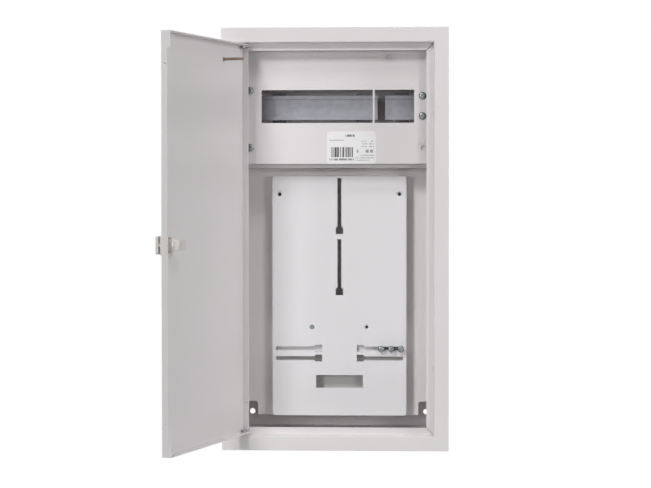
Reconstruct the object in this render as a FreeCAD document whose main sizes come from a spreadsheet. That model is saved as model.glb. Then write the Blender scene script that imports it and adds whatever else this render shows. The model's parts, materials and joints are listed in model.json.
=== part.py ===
"""Recessed sheet-steel meter box with an open door.

Origin: centre of the four wall-fixing holes on the outside of the back wall.
+X right, +Y into the wall, +Z up, millimetres. The front looks along -Y.
Depths are measured from the front of the frame towards the wall.
"""
import FreeCAD, Part
import math
import os
import re

import Sketcher
from FreeCAD import Placement, Rotation, Vector

# Sizes in millimetres and degrees
SIZES = {
    "gauge": 1.2,                # steel sheet
    "bend": 2,                   # outside radius of a fold
    "box_depth": 145,            # frame front to back of box
    "box_clearance": 0.8,        # between rebate and box wall
    "frame_width": 318,
    "frame_height": 592,
    "flange_width": 21,
    "lip_depth": 6,              # outer edge of the frame folded back
    "rebate_depth": 15.5,
    "stop_width": 10,
    "mitre_gap": 0.8,
    "fixing_inset_x": 12,        # inside the box's side walls
    "fixing_inset_z": 20,
    "fixing_hole": 8,
    "knockout_diameter": 28,
    "knockout_pitch": 70,
    "knockout_depth": 75,
    "knockout_relief": 0.5,      # sheet pressed in by this much
    "frame_screw_inset": 97,     # from the box's end walls
    "frame_screw_depth": 12.3,
    "frame_screw_shank": 4,
    "frame_screw_head": 5.6,
    "frame_screw_head_height": 1.3,
    "frame_screw_length": 10,
    "screw_fit": 0.1,            # radial room of a screw in its hole
    "head_taper": 0.85,          # top of a pan head against its foot
    "door_gap_side": 2,
    "door_gap_end": 2.6,
    "door_return": 9.5,
    "door_end_return": 14,
    "door_tab_length": 22,
    "door_hole": 2.8,
    "door_hole_depth": 6,
    "door_hole_inset": 42,
    "door_open": 107.2,
    "hinge_inset": 8,            # pin axis to door edge
    "hinge_depth": 5.5,          # pin axis to door face
    "hinge_pin": 5,
    "hinge_head": 8.2,
    "hinge_head_height": 3.3,
    "hinge_play": 0.2,           # along the pin
    "hinge_fit": 0.05,           # radial running clearance
    "earth_stud": 4,
    "earth_stud_length": 29.5,
    "earth_stud_from_hinge": 61,
    "earth_stud_inset": 23.6,    # from the door's top edge
    "lock_inset": 19,            # lock axis to free edge
    "lock_drop": 1.3,            # below the middle
    "lock_face": 27,
    "lock_face_height": 4,
    "lock_barrel": 16,
    "lock_barrel_depth": 12.5,
    "lock_bore": 9,
    "lock_fit": 0.08,
    "nut_across": 21,
    "nut_height": 3.3,
    "knob_diameter": 23.6,
    "knob_cap_height": 3.9,
    "knob_neck": 16,
    "knob_neck_height": 3.1,
    "knob_grip_width": 5,
    "knob_edge": 1,
    "cam_width": 13,
    "cam_reach": 17.5,
    "cam_thickness": 2.3,
    "cam_clearance": 0.3,        # behind the stop flange when locked
    "cam_square": 6.5,
    "cam_screw_head": 6.4,
    "cam_screw_head_height": 1.6,
    "cam_screw_shank": 3,
    "cam_screw_length": 10,
    "cam_gap": 0.3,              # between housing and cam
    "cover_depth": 40,
    "cover_gap": 4,              # round the cover
    "cover_height": 166.5,
    "window_side": 32,           # box wall to the windows, before their shift
    "window_shift": 2.5,         # towards the box's right
    "window_height": 46.6,
    "window_web": 2.7,
    "window_web_lead": 3.1,      # web's middle short of nine twelfths of the windows
    "window_edge_radius": 0.8,
    "seal_tab_width": 13.6,
    "seal_hole": 8,
    "seal_top_inset": 60.2,      # from the cover's right edge
    "seal_top_drop": 14.5,       # below the cover's top edge
    "seal_top_height": 17,
    "seal_side_inset": 13,
    "seal_side_rise": 22.2,      # above the cover's bottom edge
    "seal_side_height": 12.8,
    "seal_hole_shift": 1.2,      # of a tab's hole from the middle of its cut-out
    "cover_screw_inset": 13.7,
    "cover_screw_right_1": 14.9,  # above the rail's middle
    "cover_screw_right_2": -13.7,
    "cover_screw_left_1": 22.5,
    "cover_screw_left_2": -58.2,
    "cover_screw_shank": 5,
    "cover_screw_head": 10.6,
    "cover_screw_head_height": 3.4,
    "cover_screw_length": 14,
    "bracket_face": 26,
    "bracket_leg": 22,
    "bracket_top_face": 30,
    "shelf_drop": 5.9,           # shelf below the cover's bottom edge
    "shelf_setback": 18,         # behind the cover's face
    "shelf_flange": 20,
    "shelf_slot_length": 60,
    "shelf_slot_width": 25,
    "shelf_slot_centre": 70,
    "rail_level": 85.4,          # below the cover's top edge
    "rail_drop": 44.8,             # cover back to rail lips
    "rail_height": 35,
    "rail_depth": 7.5,
    "rail_lip": 5,
    "rail_gauge": 1,
    "rail_overlap": 4,           # past the ends of the windows
    "rail_long_past": 4.4,       # past the middle of the web
    "rail_short_past": 15.4,
    "rail_bracket_width": 20,
    "rail_bracket_height": 22,
    "rail_bracket_foot": 12,
    "rail_bracket_inset": 22,    # bracket's middle from its end of the rail
    "plate_depth": 105,
    "plate_side": 5.5,           # plate to the box's side walls
    "plate_drop": 3.6,           # below the shelf
    "plate_rise": 19.5,          # above the box's floor
    "plate_foot": 12,
    "notch_width": 17.9,
    "notch_height": 19.7,
    "notch_radius": 4.5,
    "board_depth": 78,
    "board_side": 37.75,         # board to the plate's edges, before its shift
    "board_shift": 3.2,          # towards the box's right
    "board_drop": 6.8,           # below the plate's top edge
    "board_rise": 1.7,           # above the plate's bottom edge
    "board_wall": 2.5,
    "board_corner": 4,
    "board_edge": 1.5,
    "boss_diameter": 13,
    "boss_hole_upper": 5,
    "boss_sink_upper": 2.4,      # countersink depth
    "boss_sink_lower": 2,
    "boss_upper_inset": 10.55,   # from the board's side edges
    "boss_upper_drop": 26.7,     # below the board's top edge
    "boss_lower_x": 39.4,
    "boss_lower_rise": 127.9,    # above the board's bottom edge
    "slot_width": 5.6,
    "slot_head": 10.8,
    "slot_head_length": 10,
    "upright_slot_drop": 3.6,
    "upright_slot_length": 80.5,
    "upright_slot_step": 87.9,
    "level_slot_inner": 25,
    "level_slot_side": 5.25,     # to the board's side edges
    "level_slot_rise": 97.1,
    "level_slot_step": 14.2,
    "opening_width": 67.5,
    "opening_height": 18.4,
    "opening_rise": 49.5,
    "opening_mark_length": 107,
    "mark_width": 0.8,
    "mark_depth": 0.4,
    "cable_gap_depth": 11,
    "cable_gap_upper_drop": 34,
    "cable_gap_upper_length": 176,
    "cable_gap_lower_rise": 12.4,
    "cable_gap_lower_length": 79,
    "meter_screw_shank": 5,
    "meter_screw_head": 9.4,
    "meter_screw_head_height": 3,
    "meter_screw_length": 16,
    "meter_screw_stand": 8,      # shank showing in front of the board
    "meter_nut": 9,
    "meter_nut_height": 3.2,
    "slide_fit": 0.05,           # of the screws and nuts that slide along the board
    "guide_gap": 0.3,            # beside a nut
    "guide_thickness": 1.5,
    "channel_depth": 6,          # behind the board's face
    "channel_floor": 1.5,
    "board_screw_shank": 4,
    "board_screw_head": 7.1,
    "board_screw_seat": 0.05,    # between the head's cone and its countersink
    "meter_screw_1": 31.1,       # from the outer end of the slot
    "meter_screw_2": 16.7,
    "meter_screw_3": 3.3,
}

doc = FreeCAD.newDocument("MeterBox")
sheet = doc.addObject("Spreadsheet::Sheet", "Sizes")
for row, (name, number) in enumerate(SIZES.items(), start=1):
    sheet.set(f"A{row}", name)
    sheet.set(f"B{row}", str(number))
    sheet.setAlias(f"B{row}", name)
doc.recompute()

# Shared places, as formulas of the sizes
OPEN_X = "(frame_width / 2 - flange_width)"
OPEN_Z = "(frame_height / 2 - flange_width)"
STOP_X = f"({OPEN_X} - stop_width)"
STOP_Z = f"({OPEN_Z} - stop_width)"
REBATE_BACK = "(rebate_depth + gauge)"
BOX_X = f"({OPEN_X} + gauge + box_clearance)"
BOX_Z = f"({OPEN_Z} + gauge + box_clearance)"
BOX_BACK = "(box_depth - gauge)"
DOOR_X = f"({OPEN_X} - door_gap_side)"
DOOR_Z = f"({OPEN_Z} - door_gap_end)"
HINGE_X = f"(hinge_inset - {DOOR_X})"
DOOR_FAR = f"(2 * {DOOR_X} - hinge_inset)"
COVER_BACK = "(cover_depth + gauge)"
COVER_X = f"({BOX_X} - cover_gap)"
COVER_TOP = f"({BOX_Z} - cover_gap)"
COVER_LOW = f"({COVER_TOP} - cover_height)"
SHELF_Z = f"({COVER_LOW} - shelf_drop)"
SHELF_FRONT = "(cover_depth + shelf_setback)"
RAIL_FRONT = f"({COVER_BACK} + rail_drop)"
RAIL_BACK = f"({RAIL_FRONT} + rail_depth)"
BOARD_BACK = "(board_depth + board_wall)"
LOCK_X = f"({DOOR_FAR} - lock_inset)"
CAM_FRONT = f"({REBATE_BACK} + cam_clearance)"
CAM_BACK = f"({CAM_FRONT} + cam_thickness)"
LOCK_Z = "(0 - lock_drop)"
WINDOW_X = f"({BOX_X} - window_side)"
WINDOW_LEFT = f"(window_shift - {WINDOW_X})"
WINDOW_RIGHT = f"(window_shift + {WINDOW_X})"
WEB_MIDDLE = f"({WINDOW_LEFT} + {WINDOW_X} * 3 / 2 - window_web_lead)"
WEB_LEFT = f"({WEB_MIDDLE} - window_web / 2)"
SEAL_TOP = (f"({COVER_X} - seal_top_inset)", f"({COVER_TOP} - seal_top_drop)")
SEAL_SIDE = (f"({COVER_X} - seal_side_inset)", f"({COVER_LOW} + seal_side_rise)")
RAIL_Z = f"({COVER_TOP} - rail_level)"
PLATE_X = f"({BOX_X} - plate_side)"
PLATE_TOP = f"({SHELF_Z} - plate_drop)"
PLATE_LOW = f"(plate_rise - {BOX_Z})"
BOARD_X = f"({PLATE_X} - board_side)"
BOARD_TOP = f"({PLATE_TOP} - board_drop)"
BOARD_LOW = f"({PLATE_LOW} + board_rise)"
LEVEL_OUTER = f"({BOARD_X} - level_slot_side)"
SLOT_Z = f"({BOARD_LOW} + level_slot_rise)"
OPENING_Z = f"({BOARD_LOW} + opening_rise)"
BOSS_LOWER_Z = f"({BOARD_LOW} + boss_lower_rise)"

ALIAS = re.compile(r"\b(" + "|".join(SIZES) + r")\b")
PLANES = {"front": "XZ_Plane", "side": "YZ_Plane", "top": "XY_Plane"}
TOUCH = 0.01    # places this close, in millimetres, are one
nodes = []


def formula(text):
    """Give the spreadsheet formula of a text that names sizes."""
    return ALIAS.sub(r"Sizes.\1", str(text))


def value(text):
    """Work out a formula in millimetres."""
    return float(sheet.evalExpression(formula(text)))


def bind(item, prop, text):
    """Tie a property of an object to a formula."""
    item.setExpression(prop, formula(text))


def place(item, x="0", y="0", z="0"):
    """Tie an object's position to three formulas."""
    for axis, text in zip("xyz", (x, y, z)):
        bind(item, f"Placement.Base.{axis}", text)


def as_node(item, label, carrier="box"):
    """Name a finished piece and put it in the box or on the open door."""
    item.Label = label
    if carrier == "door":
        item.Placement = Placement(Vector(), Rotation(Vector(0, 0, 1), -90))
        place(item, HINGE_X, "hinge_depth - box_depth")
        bind(item, "Placement.Rotation.Angle", "0 - door_open")
    else:
        place(item, "0", "0 - box_depth")
    nodes.append(item)
    return item


def new_body(label, carrier="box"):
    """Start a body that is a piece of its own."""
    return as_node(doc.addObject("PartDesign::Body", label), label, carrier)


def new_sketch(body, face, offset="0"):
    """Add a sketch that looks at the front, the side or the top, moved along its axis."""
    plane = next(item for item in body.Origin.OriginFeatures if item.Role == PLANES[face])
    sketch = body.newObject("Sketcher::SketchObject", f"{body.Label}_{face}")
    sketch.AttachmentSupport = [(plane, "")]
    sketch.MapMode = "FlatFace"
    bind(sketch, "AttachmentOffset.Base.z", f"0 - ({offset})" if face == "front" else offset)
    return sketch


def tie_point(sketch, index, end, across, up):
    """Hold one point of a sketch at two formulas."""
    for kind, text in (("DistanceX", across), ("DistanceY", up)):
        name = f"p{sketch.ConstraintCount}"
        number = sketch.addConstraint(Sketcher.Constraint(kind, -1, 1, index, end, value(text)))
        sketch.renameConstraint(number, name)
        bind(sketch, f"Constraints.{name}", text)


def outline(sketch, corners):
    """Draw a closed outline through corners given as pairs of formulas."""
    first = sketch.GeometryCount
    points = [Vector(value(across), value(up), 0) for across, up in corners]
    for start, end in zip(points, points[1:] + points[:1]):
        sketch.addGeometry(Part.LineSegment(start, end), False)
    count = len(corners)
    for step in range(count):
        following = first + (step + 1) % count
        sketch.addConstraint(Sketcher.Constraint("Coincident", first + step, 2, following, 1))
    for step, (across, up) in enumerate(corners):
        tie_point(sketch, first + step, 1, across, up)


def rectangle(sketch, left, right, low, high):
    """Draw a rectangle between four formulas."""
    outline(sketch, [(left, low), (right, low), (right, high), (left, high)])


def centred(sketch, half_width, half_height):
    """Draw a rectangle about the middle."""
    rectangle(sketch, f"0 - {half_width}", half_width, f"0 - {half_height}", half_height)


def circle(sketch, across, up, diameter):
    """Draw a circle."""
    centre = Vector(value(across), value(up), 0)
    radius = value(diameter) / 2
    index = sketch.addGeometry(Part.Circle(centre, Vector(0, 0, 1), radius), False)
    number = sketch.addConstraint(Sketcher.Constraint("Radius", index, radius))
    name = f"r{number}"
    sketch.renameConstraint(number, name)
    bind(sketch, f"Constraints.{name}", f"({diameter}) / 2")
    tie_point(sketch, index, 3, across, up)


def pad(body, sketch, length):
    """Grow a sketch towards plus along its axis."""
    feature = body.newObject("PartDesign::Pad", f"{sketch.Name}_pad")
    feature.Profile = sketch
    feature.Reversed = sketch.AttachmentSupport[0][0].Role == "XZ_Plane"
    bind(feature, "Length", length)
    doc.recompute()
    return feature


def pocket(body, sketch, length):
    """Cut a sketch towards plus along its axis, and see that it removed material."""
    before = body.Shape.Volume
    feature = body.newObject("PartDesign::Pocket", f"{sketch.Name}_cut")
    feature.Profile = sketch
    feature.Reversed = sketch.AttachmentSupport[0][0].Role != "XZ_Plane"
    bind(feature, "Length", length)
    doc.recompute()
    if body.Shape.Volume >= before:
        raise ValueError(f"{feature.Name} cuts nothing")
    return feature


def dress_edges(body, kind, prop, amount, chosen):
    """Work the edges of a body that a test picks by their end points."""
    tip = body.Tip
    names = []
    for number, edge in enumerate(tip.Shape.Edges, start=1):
        if chosen(edge.Vertexes[0].Point, edge.Vertexes[-1].Point):
            names.append(f"Edge{number}")
    feature = body.newObject(f"PartDesign::{kind}", f"{body.Label}_{kind}")
    feature.Base = (tip, names)
    bind(feature, prop, amount)
    doc.recompute()


def fillet(body, radius, chosen):
    """Round the chosen edges."""
    dress_edges(body, "Fillet", "Radius", radius, chosen)


def chamfer(body, size, chosen):
    """Bevel the chosen edges."""
    dress_edges(body, "Chamfer", "Size", size, chosen)


def same(first, second):
    """Tell whether two places agree."""
    return abs(first - second) < TOUCH


def along_depth(start, end):
    """Tell whether an edge runs from front to back."""
    return same(start.x, end.x) and same(start.z, end.z) and not same(start.y, end.y)


def turned(steps):
    """Build a turned piece from cylinders and cones stacked along its axis.

    Each step is the radius at its start, the radius at its end and its length.
    """
    solids = []
    base = "0"
    for start, end, length in steps:
        if start == end:
            solid = doc.addObject("Part::Cylinder", "Turning")
            bind(solid, "Radius", start)
        else:
            solid = doc.addObject("Part::Cone", "Taper")
            bind(solid, "Radius1", start)
            bind(solid, "Radius2", end)
        bind(solid, "Height", length)
        bind(solid, "Placement.Base.z", base)
        base = f"{base} + {length}"
        solids.append(solid)
    return join(solids) if len(solids) > 1 else solids[0]


def join(pieces):
    """Fuse pieces that touch into one solid."""
    whole = doc.addObject("Part::MultiFuse", "Joined")
    whole.Shapes = pieces
    whole.Refine = True
    return whole


def cut(piece, tool):
    """Take a tool's volume out of a piece."""
    result = doc.addObject("Part::Cut", "Cut")
    result.Base = piece
    result.Tool = tool
    return result


def group(pieces):
    """Keep several alike pieces as separate solids of one node."""
    whole = doc.addObject("Part::Compound", "Group")
    whole.Links = pieces
    return whole


def face_back(item, x, depth, z):
    """Turn a stacked piece so that it runs towards the wall."""
    item.Placement = Placement(Vector(), Rotation(Vector(1, 0, 0), -90))
    place(item, x, depth, z)
    return item


def pan_screw(name, length=None):
    """Build a pan-head screw from the sizes that carry its name."""
    head = f"{name}_head / 2"
    shank = f"{name}_shank / 2"
    return turned([
        (f"{head} * head_taper", head, f"{name}_head_height"),
        (shank, shank, length or f"{name}_length"),
    ])


def block(x0, x1, depth0, depth1, z0, z1):
    """Add a plain block between six formulas."""
    solid = doc.addObject("Part::Box", "Block")
    bind(solid, "Length", f"({x1}) - ({x0})")
    bind(solid, "Width", f"({depth1}) - ({depth0})")
    bind(solid, "Height", f"({z1}) - ({z0})")
    place(solid, x0, depth0, z0)
    return solid


# Wall box: one folded sheet, open to the front
box = new_body("wall_box")
sketch = new_sketch(box, "front", "gauge")
centred(sketch, f"({BOX_X} + gauge)", f"({BOX_Z} + gauge)")
pad(box, sketch, "box_depth - gauge")
back = value("box_depth")
fillet(box, "bend", lambda start, end: same(start.y, back) and same(end.y, back))
sketch = new_sketch(box, "front", "gauge")
centred(sketch, BOX_X, BOX_Z)
pocket(box, sketch, "box_depth - 2 * gauge")
sketch = new_sketch(box, "front", BOX_BACK)
for side in ("-1", "1"):
    for level in ("-1", "1"):
        circle(sketch, f"{side} * ({BOX_X} - fixing_inset_x)", f"{level} * ({BOX_Z} - fixing_inset_z)",
               "fixing_hole")
pocket(box, sketch, "gauge")
for side in (-1, 1):
    wall = f"{BOX_X}" if side > 0 else f"0 - {BOX_X} - gauge"
    sketch = new_sketch(box, "side", wall)
    for level in ("-1", "1"):
        circle(sketch, "frame_screw_depth", f"{level} * ({BOX_Z} - frame_screw_inset)",
               "frame_screw_shank + 2 * screw_fit")
    pocket(box, sketch, "gauge")
for level in (-1, 1):
    pressed = f"{BOX_Z} + gauge - knockout_relief" if level > 0 else f"0 - {BOX_Z} - gauge"
    sketch = new_sketch(box, "top", pressed)
    for step in (-1, 0, 1):
        circle(sketch, f"{step} * knockout_pitch", "knockout_depth", "knockout_diameter")
    pocket(box, sketch, "knockout_relief")

# Front frame: flange with a folded lip, rebate, and stop flange mitred at the corners
frame = new_body("front_frame")
sketch = new_sketch(frame, "front")
centred(sketch, "(frame_width / 2)", "(frame_height / 2)")
pad(frame, sketch, "lip_depth")
fillet(frame, "gauge", lambda start, end: same(start.y, 0) and same(end.y, 0))
sketch = new_sketch(frame, "front", "gauge")
centred(sketch, "(frame_width / 2 - gauge)", "(frame_height / 2 - gauge)")
pocket(frame, sketch, "lip_depth - gauge")
sketch = new_sketch(frame, "front", "gauge")
centred(sketch, f"({OPEN_X} + gauge)", f"({OPEN_Z} + gauge)")
pad(frame, sketch, "rebate_depth")
sketch = new_sketch(frame, "front")
centred(sketch, OPEN_X, OPEN_Z)
pocket(frame, sketch, "rebate_depth")
sketch = new_sketch(frame, "front", "rebate_depth")
centred(sketch, STOP_X, STOP_Z)
pocket(frame, sketch, "gauge")
open_x = value(OPEN_X)
open_z = value(OPEN_Z)
fillet(frame, "bend", lambda start, end: same(start.y, 0) and same(end.y, 0)
       and abs(start.x) < open_x + TOUCH and abs(start.z) < open_z + TOUCH
       and abs(end.x) < open_x + TOUCH and abs(end.z) < open_z + TOUCH)
sketch = new_sketch(frame, "front", "rebate_depth")
HALF_GAP = "mitre_gap / 2"
for side in ("-1", "1"):
    for level in ("-1", "1"):
        outline(sketch, [
            (f"{side} * ({STOP_X} - 1 - {HALF_GAP})", f"{level} * ({STOP_Z} - 1 + {HALF_GAP})"),
            (f"{side} * ({STOP_X} - 1 + {HALF_GAP})", f"{level} * ({STOP_Z} - 1 - {HALF_GAP})"),
            (f"{side} * {OPEN_X}", f"{level} * ({OPEN_Z} - mitre_gap)"),
            (f"{side} * ({OPEN_X} - mitre_gap)", f"{level} * {OPEN_Z}"),
        ])
pocket(frame, sketch, "gauge")
for wall in (OPEN_X, f"0 - {OPEN_X} - gauge"):
    sketch = new_sketch(frame, "side", wall)
    for level in ("-1", "1"):
        circle(sketch, "frame_screw_depth", f"{level} * ({BOX_Z} - frame_screw_inset)",
               "frame_screw_shank + 2 * screw_fit")
    pocket(frame, sketch, "gauge")
for wall in (OPEN_Z, f"0 - {OPEN_Z} - gauge"):
    sketch = new_sketch(frame, "top", wall)
    circle(sketch, HINGE_X, "hinge_depth", "hinge_pin")
    pocket(frame, sketch, "gauge")

# Frame screws: through the rebate's side walls into the box
screws = []
for side in (-1, 1):
    for level in (-1, 1):
        screw = pan_screw("frame_screw")
        screw.Placement = Placement(Vector(), Rotation(Vector(0, 1, 0), 90 * side))
        place(screw, f"{side} * ({OPEN_X} - frame_screw_head_height)", "frame_screw_depth",
              f"{level} * ({BOX_Z} - frame_screw_inset)")
        screws.append(screw)
as_node(group(screws), "frame_screws")

# Section shelf: sheet between the module section and the meter section, with cable slots
shelf = new_body("section_shelf")
sketch = new_sketch(shelf, "side", f"0 - {BOX_X}")
outline(sketch, [
    (SHELF_FRONT, SHELF_Z),
    (BOX_BACK, SHELF_Z),
    (BOX_BACK, f"{SHELF_Z} + shelf_flange"),
    (f"{BOX_BACK} - gauge", f"{SHELF_Z} + shelf_flange"),
    (f"{BOX_BACK} - gauge", f"{SHELF_Z} + gauge"),
    (f"{SHELF_FRONT} + gauge", f"{SHELF_Z} + gauge"),
    (f"{SHELF_FRONT} + gauge", f"{SHELF_Z} + shelf_flange"),
    (SHELF_FRONT, f"{SHELF_Z} + shelf_flange"),
])
pad(shelf, sketch, f"2 * {BOX_X}")
sketch = new_sketch(shelf, "top", SHELF_Z)
for side in ("-1", "1"):
    middle = f"({SHELF_FRONT} + box_depth) / 2"
    rectangle(sketch, f"{side} * shelf_slot_centre - shelf_slot_length / 2",
              f"{side} * shelf_slot_centre + shelf_slot_length / 2",
              f"{middle} - shelf_slot_width / 2", f"{middle} + shelf_slot_width / 2")
pocket(shelf, sketch, "gauge")
slot_ends = [value(f"shelf_slot_centre {sign} shelf_slot_length / 2") for sign in "-+"]
fillet(shelf, "shelf_slot_width / 2 - 1", lambda start, end: same(start.x, end.x)
       and same(start.y, end.y) and any(same(abs(start.x), place_x) for place_x in slot_ends))

# Angles that carry the module cover, with the seal tabs' holes
TAPPED = "cover_screw_shank + 2 * screw_fit"
for label, side, screw_names in (
        ("cover_bracket_left", -1, ("cover_screw_left_1", "cover_screw_left_2")),
        ("cover_bracket_right", 1, ("cover_screw_right_1", "cover_screw_right_2"))):
    bracket = new_body(label)
    sketch = new_sketch(bracket, "top", f"{SHELF_Z} + shelf_flange + 1")
    outline(sketch, [
        (f"{side} * {BOX_X}", COVER_BACK),
        (f"{side} * ({BOX_X} - bracket_face)", COVER_BACK),
        (f"{side} * ({BOX_X} - bracket_face)", f"{COVER_BACK} + gauge"),
        (f"{side} * ({BOX_X} - gauge)", f"{COVER_BACK} + gauge"),
        (f"{side} * ({BOX_X} - gauge)", f"{COVER_BACK} + bracket_leg"),
        (f"{side} * {BOX_X}", f"{COVER_BACK} + bracket_leg"),
    ])
    pad(bracket, sketch, f"{BOX_Z} - {SHELF_Z} - shelf_flange - 1")
    sketch = new_sketch(bracket, "front", COVER_BACK)
    for screw_name in screw_names:
        circle(sketch, f"{side} * ({COVER_X} - cover_screw_inset)", f"{RAIL_Z} + {screw_name}", TAPPED)
    if side > 0:
        circle(sketch, f"{SEAL_SIDE[0]} + seal_hole_shift", SEAL_SIDE[1], "seal_hole")
    pocket(bracket, sketch, "gauge")
bracket = new_body("cover_bracket_top")
sketch = new_sketch(bracket, "side", f"0 - {BOX_X} + bracket_face + 1")
outline(sketch, [
    (COVER_BACK, BOX_Z),
    (f"{COVER_BACK} + bracket_leg", BOX_Z),
    (f"{COVER_BACK} + bracket_leg", f"{BOX_Z} - gauge"),
    (f"{COVER_BACK} + gauge", f"{BOX_Z} - gauge"),
    (f"{COVER_BACK} + gauge", f"{BOX_Z} - bracket_top_face"),
    (COVER_BACK, f"{BOX_Z} - bracket_top_face"),
])
pad(bracket, sketch, f"2 * ({BOX_X} - bracket_face - 1)")
sketch = new_sketch(bracket, "front", COVER_BACK)
circle(sketch, f"{SEAL_TOP[0]} - seal_hole_shift", f"{SEAL_TOP[1]} - seal_hole_shift", "seal_hole")
pocket(bracket, sketch, "gauge")

# Module cover: flat sheet with a nine-module and a three-module window
cover = new_body("module_cover")
sketch = new_sketch(cover, "front", "cover_depth")
rectangle(sketch, f"0 - {COVER_X}", COVER_X, COVER_LOW, COVER_TOP)
pad(cover, sketch, "gauge")
sketch = new_sketch(cover, "front", "cover_depth")
low = f"{RAIL_Z} - window_height / 2"
high = f"{RAIL_Z} + window_height / 2"
rectangle(sketch, WINDOW_LEFT, WEB_LEFT, low, high)
rectangle(sketch, f"{WEB_LEFT} + window_web", WINDOW_RIGHT, low, high)
for (across, up), height in ((SEAL_TOP, "seal_top_height"), (SEAL_SIDE, "seal_side_height")):
    rectangle(sketch, f"{across} - seal_tab_width / 2", f"{across} + seal_tab_width / 2",
              f"{up} - {height} / 2", f"{up} + {height} / 2")
for side, screw_name in (("-1", "left_1"), ("-1", "left_2"), ("1", "right_1"), ("1", "right_2")):
    circle(sketch, f"{side} * ({COVER_X} - cover_screw_inset)", f"{RAIL_Z} + cover_screw_{screw_name}", TAPPED)
pocket(cover, sketch, "gauge")
window_ends = [value(WINDOW_LEFT), value(WEB_LEFT), value(f"{WEB_LEFT} + window_web"),
               value(WINDOW_RIGHT)]
fillet(cover, "window_edge_radius", lambda start, end: along_depth(start, end)
       and any(same(start.x, place_x) for place_x in window_ends))

screws = []
for side, screw_name in (("-1", "left_1"), ("-1", "left_2"), ("1", "right_1"), ("1", "right_2")):
    screws.append(face_back(pan_screw("cover_screw"), f"{side} * ({COVER_X} - cover_screw_inset)",
                            "cover_depth - cover_screw_head_height", f"{RAIL_Z} + cover_screw_{screw_name}"))
as_node(group(screws), "cover_screws")

# Two pieces of top-hat rail on folded brackets
RAIL_HALF = "(rail_height / 2)"
CHANNEL = f"({RAIL_HALF} - rail_lip + rail_gauge)"
RAIL_ENDS = (f"({WINDOW_LEFT} - rail_overlap)", f"({WEB_MIDDLE} + rail_long_past)",
             f"({WEB_MIDDLE} + rail_short_past)", f"({WINDOW_RIGHT} + rail_overlap)")
for label, start, end in (("rail_long", *RAIL_ENDS[:2]), ("rail_short", *RAIL_ENDS[2:])):
    rail = new_body(label)
    sketch = new_sketch(rail, "side", start)
    upper = [
        (RAIL_FRONT, RAIL_HALF),
        (f"{RAIL_FRONT} + rail_gauge", RAIL_HALF),
        (f"{RAIL_FRONT} + rail_gauge", CHANNEL),
        (RAIL_BACK, CHANNEL),
    ]
    inner = [
        (RAIL_FRONT, f"{CHANNEL} - rail_gauge"),
        (f"{RAIL_BACK} - rail_gauge", f"{CHANNEL} - rail_gauge"),
    ]
    corners = [(depth, f"{RAIL_Z} + {height}") for depth, height in upper]
    corners += [(depth, f"{RAIL_Z} - ({height})") for depth, height in reversed(upper)]
    corners += [(depth, f"{RAIL_Z} - ({height})") for depth, height in inner]
    corners += [(depth, f"{RAIL_Z} + {height}") for depth, height in reversed(inner)]
    outline(sketch, corners)
    pad(rail, sketch, f"({end}) - ({start})")

for number, centre in enumerate((f"{RAIL_ENDS[0]} + rail_bracket_inset", f"{RAIL_ENDS[1]} - rail_bracket_inset",
                                 f"{RAIL_ENDS[3]} - rail_bracket_inset"), start=1):
    bracket = new_body(f"rail_bracket_{number}")
    sketch = new_sketch(bracket, "side", f"{centre} - rail_bracket_width / 2")
    half = "rail_bracket_height / 2"
    reach = f"({half} + rail_bracket_foot)"
    arm = [
        (BOX_BACK, reach),
        (f"{BOX_BACK} - gauge", reach),
        (f"{BOX_BACK} - gauge", half),
        (RAIL_BACK, half),
    ]
    inside = [
        (BOX_BACK, f"{half} - gauge"),
        (f"{RAIL_BACK} + gauge", f"{half} - gauge"),
    ]
    corners = [(depth, f"{RAIL_Z} + {height}") for depth, height in arm]
    corners += [(depth, f"{RAIL_Z} - ({height})") for depth, height in reversed(arm)]
    corners += [(depth, f"{RAIL_Z} - ({height})") for depth, height in inside]
    corners += [(depth, f"{RAIL_Z} + {height}") for depth, height in reversed(inside)]
    outline(sketch, corners)
    pad(bracket, sketch, "rail_bracket_width")

# Mounting plate: hat section whose feet lie on the back wall, notched at the bottom corners
plate = new_body("mounting_plate")
sketch = new_sketch(plate, "top", PLATE_LOW)
outline(sketch, [
    (f"0 - {PLATE_X}", "plate_depth"),
    (PLATE_X, "plate_depth"),
    (PLATE_X, BOX_BACK),
    (f"{PLATE_X} - plate_foot", BOX_BACK),
    (f"{PLATE_X} - plate_foot", f"{BOX_BACK} - gauge"),
    (f"{PLATE_X} - gauge", f"{BOX_BACK} - gauge"),
    (f"{PLATE_X} - gauge", "plate_depth + gauge"),
    (f"gauge - {PLATE_X}", "plate_depth + gauge"),
    (f"gauge - {PLATE_X}", f"{BOX_BACK} - gauge"),
    (f"plate_foot - {PLATE_X}", f"{BOX_BACK} - gauge"),
    (f"plate_foot - {PLATE_X}", BOX_BACK),
    (f"0 - {PLATE_X}", BOX_BACK),
])
pad(plate, sketch, f"{PLATE_TOP} - {PLATE_LOW}")
sketch = new_sketch(plate, "front", "plate_depth")
for side in (-1, 1):
    ends = sorted([f"{side} * ({PLATE_X} - notch_width)", f"{side} * ({PLATE_X} + 1)"], key=value)
    rectangle(sketch, ends[0], ends[1], f"{PLATE_LOW} - 1", f"{PLATE_LOW} + notch_height")
pocket(plate, sketch, f"{BOX_BACK} - plate_depth")
notch_x = value(f"{PLATE_X} - notch_width")
notch_top = value(f"{PLATE_LOW} + notch_height")
fillet(plate, "notch_radius", lambda start, end: along_depth(start, end)
       and same(abs(start.x), notch_x) and same(start.z, notch_top))
sketch = new_sketch(plate, "front", "plate_depth")
circle(sketch, "board_shift - boss_lower_x", BOSS_LOWER_Z, "board_screw_shank + 2 * screw_fit")
pocket(plate, sketch, "gauge")

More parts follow.
